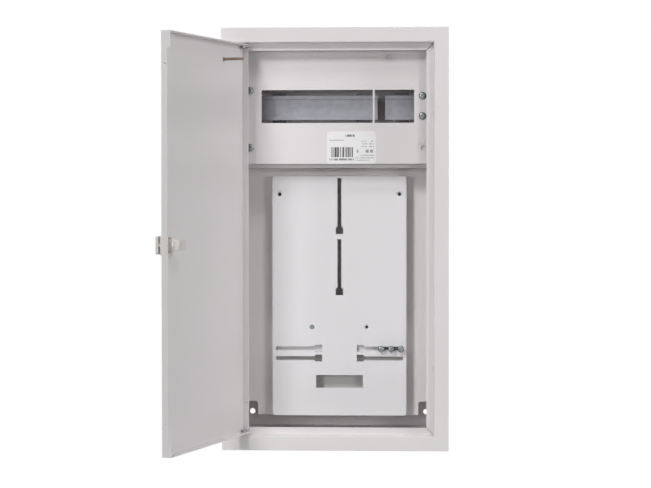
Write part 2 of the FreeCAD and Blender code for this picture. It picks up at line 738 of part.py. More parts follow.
# Meter board: moulded tray with meter slots, fixing bosses and cable gaps in its side walls
board = new_body("meter_board")
sketch = new_sketch(board, "front", "board_depth")
rectangle(sketch, f"board_shift - {BOARD_X}", f"board_shift + {BOARD_X}", BOARD_LOW, BOARD_TOP)
pad(board, sketch, "plate_depth - board_depth")
fillet(board, "board_corner", along_depth)
board_face = value("board_depth")
fillet(board, "board_edge", lambda start, end: same(start.y, board_face) and same(end.y, board_face))
sketch = new_sketch(board, "front", BOARD_BACK)
rectangle(sketch, f"board_shift + board_wall - {BOARD_X}", f"board_shift + {BOARD_X} - board_wall",
          f"{BOARD_LOW} + board_wall", f"{BOARD_TOP} - board_wall")
pocket(board, sketch, f"plate_depth - {BOARD_BACK}")
LOWER_HOLE = "(board_screw_shank + 2 * screw_fit)"
for row, hole, beside, up in (
        ("upper", "boss_hole_upper", f"({BOARD_X} - boss_upper_inset)", f"{BOARD_TOP} - boss_upper_drop"),
        ("lower", LOWER_HOLE, "boss_lower_x", BOSS_LOWER_Z)):
    centres = [f"board_shift + {side} * {beside}" for side in ("-1", "1")]
    sketch = new_sketch(board, "front", BOARD_BACK)
    for across in centres:
        circle(sketch, across, up, "boss_diameter")
    pad(board, sketch, f"plate_depth - {BOARD_BACK}")
    sketch = new_sketch(board, "front", "board_depth")
    for across in centres:
        circle(sketch, across, up, hole)
    pocket(board, sketch, "plate_depth - board_depth")
    row_x = [value(across) for across in centres]
    row_z = value(up)
    rim = value(f"{hole} / 2")
    chamfer(board, f"boss_sink_{row}", lambda start, end: same(start.y, board_face) and same(end.y, board_face)
            and any(same(math.hypot(start.x - place_x, start.z - row_z), rim) for place_x in row_x))
sketch = new_sketch(board, "front", "board_depth")
for step in (0, 1):
    top = f"({BOARD_TOP} - upright_slot_drop - {step} * upright_slot_step)"
    foot = f"({top} - upright_slot_length)"
    outline(sketch, [
        ("board_shift - slot_width / 2", top),
        ("board_shift - slot_width / 2", f"{foot} + slot_head_length"),
        ("board_shift - slot_head / 2", f"{foot} + slot_head_length"),
        ("board_shift - slot_head / 2", foot),
        ("board_shift + slot_head / 2", foot),
        ("board_shift + slot_head / 2", f"{foot} + slot_head_length"),
        ("board_shift + slot_width / 2", f"{foot} + slot_head_length"),
        ("board_shift + slot_width / 2", top),
    ])
for side in (-1, 1):
    for step in (0, 1):
        middle = f"({BOARD_LOW} + level_slot_rise - {step} * level_slot_step)"
        inner = f"board_shift + {side} * level_slot_inner"
        neck = f"board_shift + {side} * (level_slot_inner + slot_head_length)"
        outer = f"board_shift + {side} * {LEVEL_OUTER}"
        outline(sketch, [
            (inner, f"{middle} - slot_head / 2"),
            (neck, f"{middle} - slot_head / 2"),
            (neck, f"{middle} - slot_width / 2"),
            (outer, f"{middle} - slot_width / 2"),
            (outer, f"{middle} + slot_width / 2"),
            (neck, f"{middle} + slot_width / 2"),
            (neck, f"{middle} + slot_head / 2"),
            (inner, f"{middle} + slot_head / 2"),
        ])
rectangle(sketch, "board_shift - opening_width / 2", "board_shift + opening_width / 2",
          f"{OPENING_Z} - opening_height / 2", f"{OPENING_Z} + opening_height / 2")
pocket(board, sketch, "board_wall")
sketch = new_sketch(board, "front", "board_depth")
for level in ("-1", "1"):
    for side in (-1, 1):
        edge = f"{OPENING_Z} + {level} * opening_height / 2"
        inward = f"{edge} - {level} * mark_width"
        ends = sorted([f"board_shift + {side} * opening_width / 2",
                       f"board_shift + {side} * opening_mark_length / 2"], key=value)
        levels = sorted([edge, inward], key=value)
        rectangle(sketch, ends[0], ends[1], levels[0], levels[1])
for side in (-1, 1):
    ends = sorted([f"board_shift + {side} * opening_mark_length / 2",
                   f"board_shift + {side} * (opening_mark_length / 2 + mark_width)"], key=value)
    rectangle(sketch, ends[0], ends[1], f"{OPENING_Z} - opening_height / 2",
              f"{OPENING_Z} + opening_height / 2")
pocket(board, sketch, "mark_depth")
sketch = new_sketch(board, "front", BOARD_BACK)
for side in (-1, 1):
    for step in (0, 1):
        middle = f"({BOARD_LOW} + level_slot_rise - {step} * level_slot_step)"
        ends = sorted([f"board_shift + {side} * (level_slot_inner - guide_thickness)",
                       f"board_shift + {side} * {LEVEL_OUTER}"], key=value)
        for level in (-1, 1):
            levels = sorted([f"{middle} + {level} * (meter_nut / 2 + guide_gap)",
                             f"{middle} + {level} * (meter_nut / 2 + guide_gap + guide_thickness)"], key=value)
            rectangle(sketch, ends[0], ends[1], levels[0], levels[1])
pad(board, sketch, "channel_depth")
sketch = new_sketch(board, "front", f"{BOARD_BACK} + channel_depth")
for side in (-1, 1):
    ends = sorted([f"board_shift + {side} * (level_slot_inner - guide_thickness)",
                   f"board_shift + {side} * {LEVEL_OUTER}"], key=value)
    rectangle(sketch, ends[0], ends[1],
              f"{SLOT_Z} - (meter_nut / 2 + guide_gap + guide_thickness)",
              f"{SLOT_Z} + (meter_nut / 2 + guide_gap + guide_thickness)")
pad(board, sketch, "channel_floor")
for low, high in (
        (f"{BOARD_TOP} - cable_gap_upper_drop - cable_gap_upper_length",
         f"{BOARD_TOP} - cable_gap_upper_drop"),
        (f"{BOARD_LOW} + cable_gap_lower_rise",
         f"{BOARD_LOW} + cable_gap_lower_rise + cable_gap_lower_length")):
    sketch = new_sketch(board, "front", "plate_depth - cable_gap_depth")
    for side in (-1, 1):
        ends = sorted([f"board_shift + {side} * ({BOARD_X} - board_wall)",
                       f"board_shift + {side} * {BOARD_X}"], key=value)
        rectangle(sketch, ends[0], ends[1], low, high)
    pocket(board, sketch, "cable_gap_depth")

# Fasteners of the meter board
HEAD_CONE = "((board_screw_head - board_screw_shank) / 2)"
HEAD_TOP = f"(board_depth + {LOWER_HOLE} / 2 + boss_sink_lower - board_screw_head / 2 - board_screw_seat)"
screw = turned([
    ("board_screw_head / 2", "board_screw_shank / 2", HEAD_CONE),
    ("board_screw_shank / 2", "board_screw_shank / 2", f"(plate_depth + 3 * gauge - {HEAD_TOP} - {HEAD_CONE})"),
])
face_back(screw, "board_shift - boss_lower_x", HEAD_TOP, BOSS_LOWER_Z)
as_node(group([screw]), "board_screw")
for number in (1, 2, 3):
    across = f"(board_shift + {LEVEL_OUTER} - meter_screw_{number})"
    screw = face_back(pan_screw("meter_screw"), across,
                      "board_depth - meter_screw_stand - meter_screw_head_height", SLOT_Z)
    as_node(group([screw]), f"meter_screw_{number}")
    nut = block(f"{across} - meter_nut / 2", f"{across} + meter_nut / 2",
                f"{BOARD_BACK} + slide_fit", f"{BOARD_BACK} + slide_fit + meter_nut_height",
                f"{SLOT_Z} - meter_nut / 2", f"{SLOT_Z} + meter_nut / 2")
    bore = face_back(turned([("meter_screw_shank / 2", "meter_screw_shank / 2", "meter_nut_height + 2")]),
                     across, f"{BOARD_BACK} - 1", SLOT_Z)
    as_node(cut(nut, bore), f"meter_nut_{number}")

# Hinge pins: headed inside the door, held in the frame's end walls
for label, level in (("hinge_pin_top", 1), ("hinge_pin_bottom", -1)):
    pin = turned([
        ("hinge_head / 2", "hinge_head / 2", "hinge_head_height"),
        ("hinge_pin / 2", "hinge_pin / 2", "hinge_play + door_gap_end + 2 * gauge + box_clearance / 2"),
    ])
    pin.Placement = Placement(Vector(), Rotation(Vector(1, 0, 0), 0 if level > 0 else 180))
    place(pin, HINGE_X, "hinge_depth", f"{level} * ({DOOR_Z} - gauge - hinge_play - hinge_head_height)")
    as_node(group([pin]), label)

# Door panel, drawn closed with the hinge axis at its origin
FACE = "(0 - hinge_depth)"
door = new_body("door_panel", "door")
sketch = new_sketch(door, "front", FACE)
rectangle(sketch, "0 - hinge_inset", DOOR_FAR, f"0 - {DOOR_Z}", DOOR_Z)
pad(door, sketch, "door_return")
face_y = value(FACE)
fillet(door, "bend", lambda start, end: same(start.y, face_y) and same(end.y, face_y))
sketch = new_sketch(door, "front", f"{FACE} + gauge")
rectangle(sketch, "gauge - hinge_inset", f"{DOOR_FAR} - gauge", f"gauge - {DOOR_Z}", f"{DOOR_Z} - gauge")
pocket(door, sketch, "door_return - gauge")
RETURN_BACK = f"({FACE} + door_return)"
END_BACK = f"({FACE} + door_end_return)"
for end in (f"{DOOR_Z} - gauge", f"0 - {DOOR_Z}"):
    sketch = new_sketch(door, "top", end)
    outline(sketch, [
        ("gauge - hinge_inset", RETURN_BACK),
        (f"{DOOR_FAR} - gauge", RETURN_BACK),
        (f"{DOOR_FAR} - gauge", END_BACK),
        ("door_end_return - door_return - hinge_inset", END_BACK),
    ])
    pad(door, sketch, "gauge")
for end in (f"{DOOR_Z} - door_tab_length", f"0 - {DOOR_Z}"):
    sketch = new_sketch(door, "front", RETURN_BACK)
    rectangle(sketch, f"{DOOR_FAR} - gauge", DOOR_FAR, end, f"{end} + door_tab_length")
    pad(door, sketch, "door_end_return - door_return")
for wall in ("0 - hinge_inset", f"{DOOR_FAR} - gauge"):
    sketch = new_sketch(door, "side", wall)
    for level in ("-1", "1"):
        circle(sketch, f"{FACE} + door_hole_depth", f"{level} * ({DOOR_Z} - door_hole_inset)", "door_hole")
    pocket(door, sketch, "gauge")
for end in (f"{DOOR_Z} - gauge", f"0 - {DOOR_Z}"):
    sketch = new_sketch(door, "top", end)
    circle(sketch, "0", "0", "hinge_pin + 2 * hinge_fit")
    pocket(door, sketch, "gauge")
sketch = new_sketch(door, "front", FACE)
circle(sketch, LOCK_X, LOCK_Z, "lock_barrel + 2 * screw_fit")
pocket(door, sketch, "gauge")

# Earth stud welded to the inside of the door
stud = turned([
    ("earth_stud / 2", "earth_stud / 2", "earth_stud_length - 1"),
    ("earth_stud / 2", "earth_stud / 2 - 0.7", "1"),
])
face_back(stud, "earth_stud_from_hinge", f"{FACE} + gauge", f"{DOOR_Z} - earth_stud_inset")
as_node(group([stud]), "earth_stud", "door")

# Lock: housing through the door, nut behind it, turning knob, cam and its screw
shell = face_back(turned([
    ("lock_face / 2 - 1", "lock_face / 2", "lock_face_height"),
    ("lock_barrel / 2", "lock_barrel / 2", "lock_barrel_depth"),
]), LOCK_X, f"{FACE} - lock_face_height", LOCK_Z)
bore = face_back(turned([("lock_bore / 2", "lock_bore / 2", "lock_face_height + lock_barrel_depth + 2")]),
                 LOCK_X, f"{FACE} - lock_face_height - 1", LOCK_Z)
as_node(cut(shell, bore), "lock_housing", "door")
nut = new_body("lock_nut", "door")
sketch = new_sketch(nut, "front", f"{FACE} + gauge")
circle(sketch, LOCK_X, LOCK_Z, "nut_across")
circle(sketch, LOCK_X, LOCK_Z, "lock_barrel + 2 * screw_fit")
pad(nut, sketch, "nut_height")

knob = new_body("lock_knob", "door")
KNOB_FRONT = f"({FACE} - lock_face_height - knob_neck_height - knob_cap_height)"
sketch = new_sketch(knob, "front", KNOB_FRONT)
circle(sketch, LOCK_X, LOCK_Z, "knob_diameter")
pad(knob, sketch, "knob_cap_height")
knob_front = value(KNOB_FRONT)
chamfer(knob, "knob_edge", lambda start, end: same(start.y, knob_front) and same(end.y, knob_front))
KNOB_NECK = f"{KNOB_FRONT} + knob_cap_height"
sketch = new_sketch(knob, "front", KNOB_NECK)
circle(sketch, LOCK_X, LOCK_Z, "knob_neck")
pad(knob, sketch, "knob_neck_height - lock_fit")
sketch = new_sketch(knob, "front", KNOB_NECK)
rectangle(sketch, f"{LOCK_X} - knob_diameter / 2 + knob_edge", f"{LOCK_X} + knob_diameter / 2 - knob_edge",
          f"{LOCK_Z} - knob_grip_width / 2", f"{LOCK_Z} + knob_grip_width / 2")
pad(knob, sketch, "knob_neck_height - lock_fit")
sketch = new_sketch(knob, "front", KNOB_NECK)
circle(sketch, LOCK_X, LOCK_Z, "lock_bore - 2 * lock_fit")
pad(knob, sketch, "knob_neck_height + lock_face_height + lock_barrel_depth + cam_gap")
CAM_START = "(lock_barrel_depth + cam_gap)"
SCREW_SEAT = f"({CAM_BACK} - cam_screw_head_height)"
sketch = new_sketch(knob, "front", f"{FACE} + {CAM_START}")
rectangle(sketch, f"{LOCK_X} - cam_square / 2", f"{LOCK_X} + cam_square / 2",
          f"{LOCK_Z} - cam_square / 2", f"{LOCK_Z} + cam_square / 2")
pad(knob, sketch, f"{SCREW_SEAT} - {CAM_START}")
sketch = new_sketch(knob, "front", f"{FACE} + {SCREW_SEAT} - cam_screw_length")
circle(sketch, LOCK_X, LOCK_Z, "cam_screw_shank")
pocket(knob, sketch, "cam_screw_length")

cam = new_body("lock_cam", "door")
sketch = new_sketch(cam, "front", f"{FACE} + {CAM_START}")
rectangle(sketch, f"{LOCK_X} - cam_width / 2", f"{LOCK_X} + cam_width / 2",
          f"{LOCK_Z} - cam_width / 2", f"{LOCK_Z} + cam_width / 2")
pad(cam, sketch, f"{CAM_BACK} - {CAM_START}")
sketch = new_sketch(cam, "front", f"{FACE} + {CAM_FRONT}")
rectangle(sketch, f"{LOCK_X} - cam_reach", LOCK_X, f"{LOCK_Z} - cam_width / 2", f"{LOCK_Z} + cam_width / 2")
pad(cam, sketch, "cam_thickness")
cam_tip = value(f"{LOCK_X} - cam_reach")
fillet(cam, "cam_width / 4", lambda start, end: along_depth(start, end) and same(start.x, cam_tip))
sketch = new_sketch(cam, "front", f"{FACE} + {CAM_START}")
rectangle(sketch, f"{LOCK_X} - cam_square / 2", f"{LOCK_X} + cam_square / 2",
          f"{LOCK_Z} - cam_square / 2", f"{LOCK_Z} + cam_square / 2")
pocket(cam, sketch, f"{SCREW_SEAT} - {CAM_START}")
sketch = new_sketch(cam, "front", f"{FACE} + {SCREW_SEAT}")
circle(sketch, LOCK_X, LOCK_Z, "cam_screw_head + 4 * screw_fit")
pocket(cam, sketch, "cam_screw_head_height")
screw = turned([
    ("cam_screw_shank / 2", "cam_screw_shank / 2", "cam_screw_length"),
    ("cam_screw_head / 2", "cam_screw_head / 2", "cam_screw_head_height"),
])
face_back(screw, LOCK_X, f"{FACE} + {SCREW_SEAT} - cam_screw_length", LOCK_Z)
as_node(group([screw]), "cam_screw", "door")

# Check every object, then write one file for each piece
doc.recompute()
for item in doc.Objects:
    if "Invalid" in item.State or "Error" in item.State:
        raise ValueError(f"{item.Label} failed: {item.State}")
os.makedirs("parts", exist_ok=True)
for node in nodes:
    shape = node.Shape
    if shape.isNull() or not shape.isValid() or not shape.Solids:
        raise ValueError(f"{node.Label} has no valid solid")
    shape.exportStep(f"parts/{node.Label}.step")
    bounds = shape.BoundBox
    print(f"{node.Label}: {len(shape.Solids)} solid(s), {shape.Volume:.0f} mm3, "
          f"{bounds.XLength:.1f} x {bounds.YLength:.1f} x {bounds.ZLength:.1f}")
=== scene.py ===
"""Looks of the recessed meter box: finishes, screws, lock, label, light and camera.

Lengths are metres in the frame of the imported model: +X right, +Y into the wall, +Z up.
Places in the box and on the door are in millimetres where a docstring says so.
"""

import json
import logging
import math
from collections.abc import Callable, Iterable, Iterator, Mapping
from contextlib import contextmanager
from dataclasses import dataclass, field
from enum import Enum
from functools import reduce
from typing import ClassVar, Union

import bmesh
import bpy
from mathutils import Matrix, Vector

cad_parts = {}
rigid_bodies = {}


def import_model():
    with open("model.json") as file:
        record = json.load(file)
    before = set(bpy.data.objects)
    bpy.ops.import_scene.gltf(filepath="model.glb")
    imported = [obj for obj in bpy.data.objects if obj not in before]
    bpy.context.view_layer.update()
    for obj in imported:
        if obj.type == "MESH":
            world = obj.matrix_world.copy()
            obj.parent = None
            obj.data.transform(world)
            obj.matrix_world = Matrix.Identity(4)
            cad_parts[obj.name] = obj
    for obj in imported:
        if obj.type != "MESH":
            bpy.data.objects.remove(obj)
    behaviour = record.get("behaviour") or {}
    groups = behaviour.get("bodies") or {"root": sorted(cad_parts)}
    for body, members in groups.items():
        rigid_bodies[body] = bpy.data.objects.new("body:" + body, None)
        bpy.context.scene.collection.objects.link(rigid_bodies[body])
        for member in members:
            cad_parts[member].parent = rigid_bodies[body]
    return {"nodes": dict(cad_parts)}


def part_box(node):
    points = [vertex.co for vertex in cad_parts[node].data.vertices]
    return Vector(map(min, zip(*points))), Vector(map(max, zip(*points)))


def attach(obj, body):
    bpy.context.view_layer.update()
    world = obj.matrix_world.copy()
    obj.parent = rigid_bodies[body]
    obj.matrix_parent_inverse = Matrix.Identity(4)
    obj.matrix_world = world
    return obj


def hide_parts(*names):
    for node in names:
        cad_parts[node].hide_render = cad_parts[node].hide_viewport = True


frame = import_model()

LOG = logging.getLogger("meter_box")
MM = 0.001
BOX_DEPTH = 145 * MM
Item = bpy.types.Object
Material = bpy.types.Material
Socket = bpy.types.NodeSocket
Number = Union["Value", float]
Colour = tuple[float, float, float]
Place = tuple[float, float, float]
EdgeTest = Callable[[bmesh.types.BMEdge], bool]
FaceTest = Callable[[bmesh.types.BMFace], bool]


def at_depth(depth: float) -> float:
    """Give the Y of a depth in millimetres behind the frame's front."""
    return depth * MM - BOX_DEPTH


def spin(angle: float, axis: str) -> Matrix:
    """Give a turn about an axis, in degrees."""
    return Matrix.Rotation(math.radians(angle), 4, axis)


def spot(across: float, depth: float, up: float) -> Matrix:
    """Give the move to a place in the box, in millimetres."""
    return Matrix.Translation((across * MM, at_depth(depth), up * MM))


def front_seat(across: float, depth: float, up: float, turn: float) -> Matrix:
    """Give the move of a screw to its seat in the box, with its head to the front."""
    return spot(across, depth, up) @ spin(90, "X") @ spin(turn, "Z")


class Slot(Enum):
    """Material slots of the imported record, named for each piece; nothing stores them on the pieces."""

    PAINT = "enclosure_paint"
    ZINC = "zinc_plated_steel"
    NUT = "lock_nut_steel"
    COPPER = "coppered_steel"
    LOCK = "lock_plastic"


class Value:
    """A number in a material's nodes that takes part in sums.

    A noise has its middle at MIDDLE, and a blend starts at its START.
    """

    MIDDLE = 0.5
    START = 0.35

    def __init__(self, graph: "Graph", socket: Socket) -> None:
        """Keep the graph and the output that carries the number."""
        self.graph = graph
        self.socket = socket

    def _sum(self, operation: str, *terms: Number) -> "Value":
        """Add a Math node.

        Args:
            operation: The Math node's operation.
            terms: The node's inputs in order.

        Returns:
            The node's result.
        """
        node = self.graph.node("ShaderNodeMath", {"operation": operation}, dict(enumerate(terms)))
        return Value(self.graph, node.outputs[0])

    def __add__(self, other: Number) -> "Value":
        """Add."""
        return self._sum("ADD", self, other)

    __radd__ = __add__

    def __sub__(self, other: Number) -> "Value":
        """Subtract."""
        return self._sum("SUBTRACT", self, other)

    def __rsub__(self, other: Number) -> "Value":
        """Subtract from another."""
        return self._sum("SUBTRACT", other, self)

    def __mul__(self, other: Number) -> "Value":
        """Multiply."""
        return self._sum("MULTIPLY", self, other)

    __rmul__ = __mul__

    def __truediv__(self, other: Number) -> "Value":
        """Divide."""
        return self._sum("DIVIDE", self, other)

    def __gt__(self, other: Number) -> "Value":
        """Give 1 where this is larger."""
        return self._sum("GREATER_THAN", self, other)

    def __lt__(self, other: Number) -> "Value":
        """Give 1 where this is smaller."""
        return self._sum("LESS_THAN", self, other)

    def floor(self) -> "Value":
        """Round down."""
        return self._sum("FLOOR", self)

    def most(self, other: Number) -> "Value":
        """Give the larger of the two."""
        return self._sum("MAXIMUM", self, other)

    def contrast(self, amount: float) -> "Value":
        """Stretch a noise into the factor of a blend."""
        return (self - self.START) * amount

    def swing(self, amount: float) -> "Value":
        """Turn a noise into a sway about 0."""
        return (self - self.MIDDLE) * amount


class Graph:
    """The node graph of one material, or of the surround.

    The MIX numbers are the mix node's sockets for colours.
    """

    MIX_FIRST = 6
    MIX_SECOND = 7
    MIX_COLOUR = 2

    def __init__(self, name: str, world: bpy.types.World | None = None) -> None:
        """Start an empty graph.

        Args:
            name: The new material's name.
            world: The surround that the graph belongs to, instead of a material.
        """
        self.owner = world or bpy.data.materials.new(name)
        self.owner.use_nodes = True
        self.tree = self.owner.node_tree
        self.tree.nodes.clear()

    def node(self, kind: str, settings: Mapping[str, object] | None = None,
             inputs: Mapping[int | str, object] | None = None) -> bpy.types.Node:
        """Add a node.

        Args:
            kind: The node's type.
            settings: Properties set first.
            inputs: Values or links by socket name or number.

        Returns:
            The new node.
        """
        made = self.tree.nodes.new(kind)
        for key, setting in (settings or {}).items():
            setattr(made, key, setting)
        for key, given in (inputs or {}).items():
            source = given.socket if isinstance(given, Value) else given
            if isinstance(source, Socket):
                self.tree.links.new(source, made.inputs[key])
            else:
                made.inputs[key].default_value = source
        return made

    @staticmethod
    def _full(given: object) -> object:
        """Add the fourth number that a colour's socket takes."""
        return (*given, 1) if isinstance(given, tuple) else given

    def shown(self) -> Value:
        """Give 1 to the eye and to what metal and glass mirror.

        Returns:
            1 for a camera, glossy or transmission ray, and 0 for light.
        """
        path = self.node("ShaderNodeLightPath")
        eye, mirror, through = (Value(self, path.outputs[f"Is {kind} Ray"])
                                for kind in ("Camera", "Glossy", "Transmission"))
        return eye.most(mirror).most(through)

    def place(self) -> Socket:
        """Give the place on the object."""
        return self.node("ShaderNodeTexCoord").outputs["Object"]

    def stretched(self, scale: Place) -> Socket:
        """Give the place on the object, scaled along its axes."""
        return self.node("ShaderNodeMapping", {"vector_type": "POINT"},
                         {"Vector": self.place(), "Scale": scale}).outputs[0]

    def noise(self, vector: Socket, scale: float, detail: float = 2.0, roughness: float = 0.5) -> Value:
        """Give a noise between 0 and 1.

        Args:
            vector: Where it is read.
            scale: Cells a metre.
            detail: Finer layers.
            roughness: Strength of the finer layers.

        Returns:
            The noise.
        """
        node = self.node("ShaderNodeTexNoise", {"noise_dimensions": "3D"},
                         {"Vector": vector, "Scale": scale, "Detail": detail, "Roughness": roughness})
        return Value(self, node.outputs[0])

    def blend(self, factor: Number, first: object, second: object) -> Socket:
        """Mix two colours.

        Args:
            factor: Share of the second.
            first: A colour or a colour's socket.
            second: A colour or a colour's socket.

        Returns:
            The mixed colour.
        """
        inputs = {0: factor, self.MIX_FIRST: self._full(first), self.MIX_SECOND: self._full(second)}
        node = self.node("ShaderNodeMix", {"data_type": "RGBA", "clamp_factor": True}, inputs)
        return node.outputs[self.MIX_COLOUR]

    def bump(self, height: Value, distance: float) -> Socket:
        """Turn a height into a normal.

        Args:
            height: Height between 0 and 1.
            distance: Metres that a height of 1 stands for.

        Returns:
            The normal.
        """
        inputs = {"Height": height, "Distance": distance, "Strength": 1.0}
        return self.node("ShaderNodeBump", None, inputs).outputs[0]

    def shade(self, **sockets: object) -> Material:
        """Close the graph with its surface.

        Args:
            sockets: Inputs of the surface, with blanks written as underscores.

        Returns:
            The material.
        """
        inputs = {name.replace("_", " "): self._full(given) for name, given in sockets.items()}
        surface = self.node("ShaderNodeBsdfPrincipled", None, inputs)
        self.node("ShaderNodeOutputMaterial", None, {"Surface": surface.outputs[0]})
        return self.owner


@dataclass(frozen=True)
class PowderCoat:
    """Baked powder paint with a fine orange peel."""

    name: str = "powder_coat"
    colour: Colour = (0.805, 0.775, 0.782)
    tint: Colour = (0.780, 0.755, 0.750)
    roughness: float = 0.33
    contrast: float = 1.6
    cloud_cells: float = 5.5
    cloud_swing: float = 0.10
    grain_cells: float = 2600.0
    grain_swing: float = 0.06
    peel_cells: float = 520.0
    peel_share: float = 0.8
    wave_cells: float = 95.0
    wave_share: float = 0.9
    peel_height: float = 0.00011

    def make(self) -> Material:
        """Build the material.

        Returns:
            The material.
        """
        graph = Graph(self.name)
        place = graph.place()
        cloud = graph.noise(place, self.cloud_cells, detail=3.0)
        peel = graph.noise(place, self.peel_cells, detail=1.5, roughness=0.35)
        wave = graph.noise(place, self.wave_cells, detail=1.0)
        grain = graph.noise(place, self.grain_cells, detail=1.0)
        colour = graph.blend(cloud.contrast(self.contrast), self.colour, self.tint)
        rough = self.roughness + cloud.swing(self.cloud_swing) + grain.swing(self.grain_swing)
        normal = graph.bump(peel * self.peel_share + wave * self.wave_share, self.peel_height)
        return graph.shade(Base_Color=colour, Roughness=rough, Normal=normal)


@dataclass(frozen=True)
class ZincPlate:
    """Plated steel with clouded plating and fine marks, drawn along X or even all round."""

    DRAWN: ClassVar[Place] = (12.0, 900.0, 900.0)
    EVEN: ClassVar[Place] = (300.0, 300.0, 300.0)
    name: str
    colour: Colour
    shade: Colour
    roughness: float
    marks: Place = EVEN
    mark_contrast: float = 0.5
    mark_swing: float = 0.15
    mark_height: float = 0.00003
    cloud_cells: float = 110.0
    cloud_contrast: float = 1.8
    cloud_swing: float = 0.22

    def make(self) -> Material:
        """Build the material.

        Returns:
            The material.
        """
        graph = Graph(self.name)
        cloud = graph.noise(graph.place(), self.cloud_cells, detail=4.0, roughness=0.6)
        drawn = graph.noise(graph.stretched(self.marks), 1.0, detail=3.0, roughness=0.6)
        factor = cloud.contrast(self.cloud_contrast) + drawn.swing(self.mark_contrast)
        colour = graph.blend(factor, self.colour, self.shade)
        rough = self.roughness + cloud.swing(self.cloud_swing) + drawn.swing(self.mark_swing)
        normal = graph.bump(drawn, self.mark_height)
        return graph.shade(Base_Color=colour, Metallic=1.0, Roughness=rough, Normal=normal)


@dataclass(frozen=True)
class MouldedPlastic:
    """Injection-moulded plastic with a fine sanded skin."""

    name: str = "board_plastic"
    colour: Colour = (0.870, 0.860, 0.875)
    tint: Colour = (0.850, 0.840, 0.848)
    roughness: float = 0.42
    contrast: float = 1.7
    flow_cells: Place = (9.0, 9.0, 3.5)
    flow_swing: float = 0.12
    skin_cells: float = 1900.0
    skin_swing: float = 0.08
    skin_height: float = 0.00002
    sink_cells: float = 28.0
    sink_share: float = 3.0

    def make(self) -> Material:
        """Build the material.

        Returns:
            The material.
        """
        graph = Graph(self.name)
        place = graph.place()
        flow = graph.noise(graph.stretched(self.flow_cells), 1.0, detail=3.0)
        skin = graph.noise(place, self.skin_cells)
        sink = graph.noise(place, self.sink_cells, detail=1.0)
        colour = graph.blend(flow.contrast(self.contrast), self.colour, self.tint)
        rough = self.roughness + flow.swing(self.flow_swing) + skin.swing(self.skin_swing)
        normal = graph.bump(skin + sink * self.sink_share, self.skin_height)
        return graph.shade(Base_Color=colour, Roughness=rough, Normal=normal)


@dataclass(frozen=True)
class Patch:
    """A printed patch of the label, in millimetres from its lower left corner.

    With a cell's width it prints a share of upright cells, and without one it prints in full.
    """

    left: float
    right: float
    low: float
    high: float
    strength: float
    cell: float = 0.0
    share: float = 1.0
    seed: float = 0.0

    def ink(self, graph: Graph, across: Value, up: Value) -> Value:
        """Give the patch's ink.

        Args:
            graph: The label's graph.
            across: Millimetres from the label's left edge.
            up: Millimetres from its lower edge.

        Returns:
            The ink, which is 0 outside the patch.
        """
        mask = (across > self.left) * (across < self.right) * (up > self.low) * (up < self.high)
        if self.cell:
            noise = graph.node("ShaderNodeTexWhiteNoise", {"noise_dimensions": "1D"},
                               {"W": (across / self.cell).floor() + self.seed})
            mask = mask * (Value(graph, noise.outputs[0]) < self.share)
        return mask * self.strength


@dataclass(frozen=True)
class LabelPrint:
    """White sticker with plain printed bars and rules, and no words."""

    name: str = "label_print"
    left: float = -12.6 * MM
    low: float = 106.6 * MM
    paper: Colour = (0.93, 0.92, 0.93)
    paper_tint: Colour = (0.89, 0.88, 0.89)
    tint_share: float = 0.3
    ink: Colour = (0.085, 0.082, 0.085)
    roughness: float = 0.36
    fibre_cells: float = 1400.0
    fibre_swing: float = 0.08
    fibre_height: float = 0.00001
    patches: tuple[Patch, ...] = (
        Patch(5.6, 37.0, 9.2, 23.4, 1.0, 0.62, 0.52, 3.0),
        Patch(3.0, 38.0, 4.6, 7.4, 0.75, 1.1, 0.72, 11.0),
        Patch(26.0, 39.0, 38.2, 41.2, 0.85, 1.0, 0.75, 23.0),
        Patch(49.0, 66.0, 31.0, 32.6, 0.5, 1.3, 0.6, 31.0),
        Patch(49.0, 66.0, 27.2, 28.8, 0.5, 1.2, 0.6, 37.0),
        Patch(49.0, 66.0, 23.4, 25.0, 0.5, 1.3, 0.6, 41.0),
        Patch(40.0, 66.0, 15.6, 19.8, 0.7, 2.1, 0.62, 53.0),
        Patch(47.0, 66.0, 11.2, 12.4, 0.6, 0.9, 0.75, 61.0),
        Patch(40.0, 66.0, 7.6, 8.8, 0.6, 0.9, 0.75, 67.0),
        Patch(40.0, 60.0, 4.4, 5.6, 0.6, 0.9, 0.7, 71.0),
        Patch(3.2, 23.6, 32.6, 33.8, 0.5),
    )

    def make(self) -> Material:
        """Build the material.

        Returns:
            The material.
        """
        graph = Graph(self.name)
        parts = graph.node("ShaderNodeSeparateXYZ", None, {0: graph.place()})
        across = (Value(graph, parts.outputs[0]) - self.left) / MM
        up = (Value(graph, parts.outputs[2]) - self.low) / MM
        ink = reduce(Value.most, [patch.ink(graph, across, up) for patch in self.patches])
        fibre = graph.noise(graph.place(), self.fibre_cells)
        paper = graph.blend(fibre * self.tint_share, self.paper, self.paper_tint)
        rough = self.roughness + fibre.swing(self.fibre_swing)
        return graph.shade(Base_Color=graph.blend(ink, paper, self.ink), Roughness=rough,
                           Normal=graph.bump(fibre, self.fibre_height))


@dataclass(frozen=True)
class FloorPaper:
    """Pale paper that glows a little to the eye and gives no light."""

    name: str = "floor_paper"
    colour: Colour = (0.86, 0.86, 0.86)
    tint: Colour = (0.83, 0.83, 0.83)
    glow: Colour = (0.30, 0.30, 0.30)
    roughness: float = 0.9
    cloud_cells: float = 3.0

    def make(self) -> Material:
        """Build the material.

        Returns:
            The material.
        """
        graph = Graph(self.name)
        paper = graph.blend(graph.noise(graph.place(), self.cloud_cells), self.colour, self.tint)
        glow = graph.blend(graph.shown(), (0.0, 0.0, 0.0), self.glow)
        return graph.shade(Base_Color=paper, Roughness=self.roughness, Emission_Color=glow,
                           Emission_Strength=1.0)


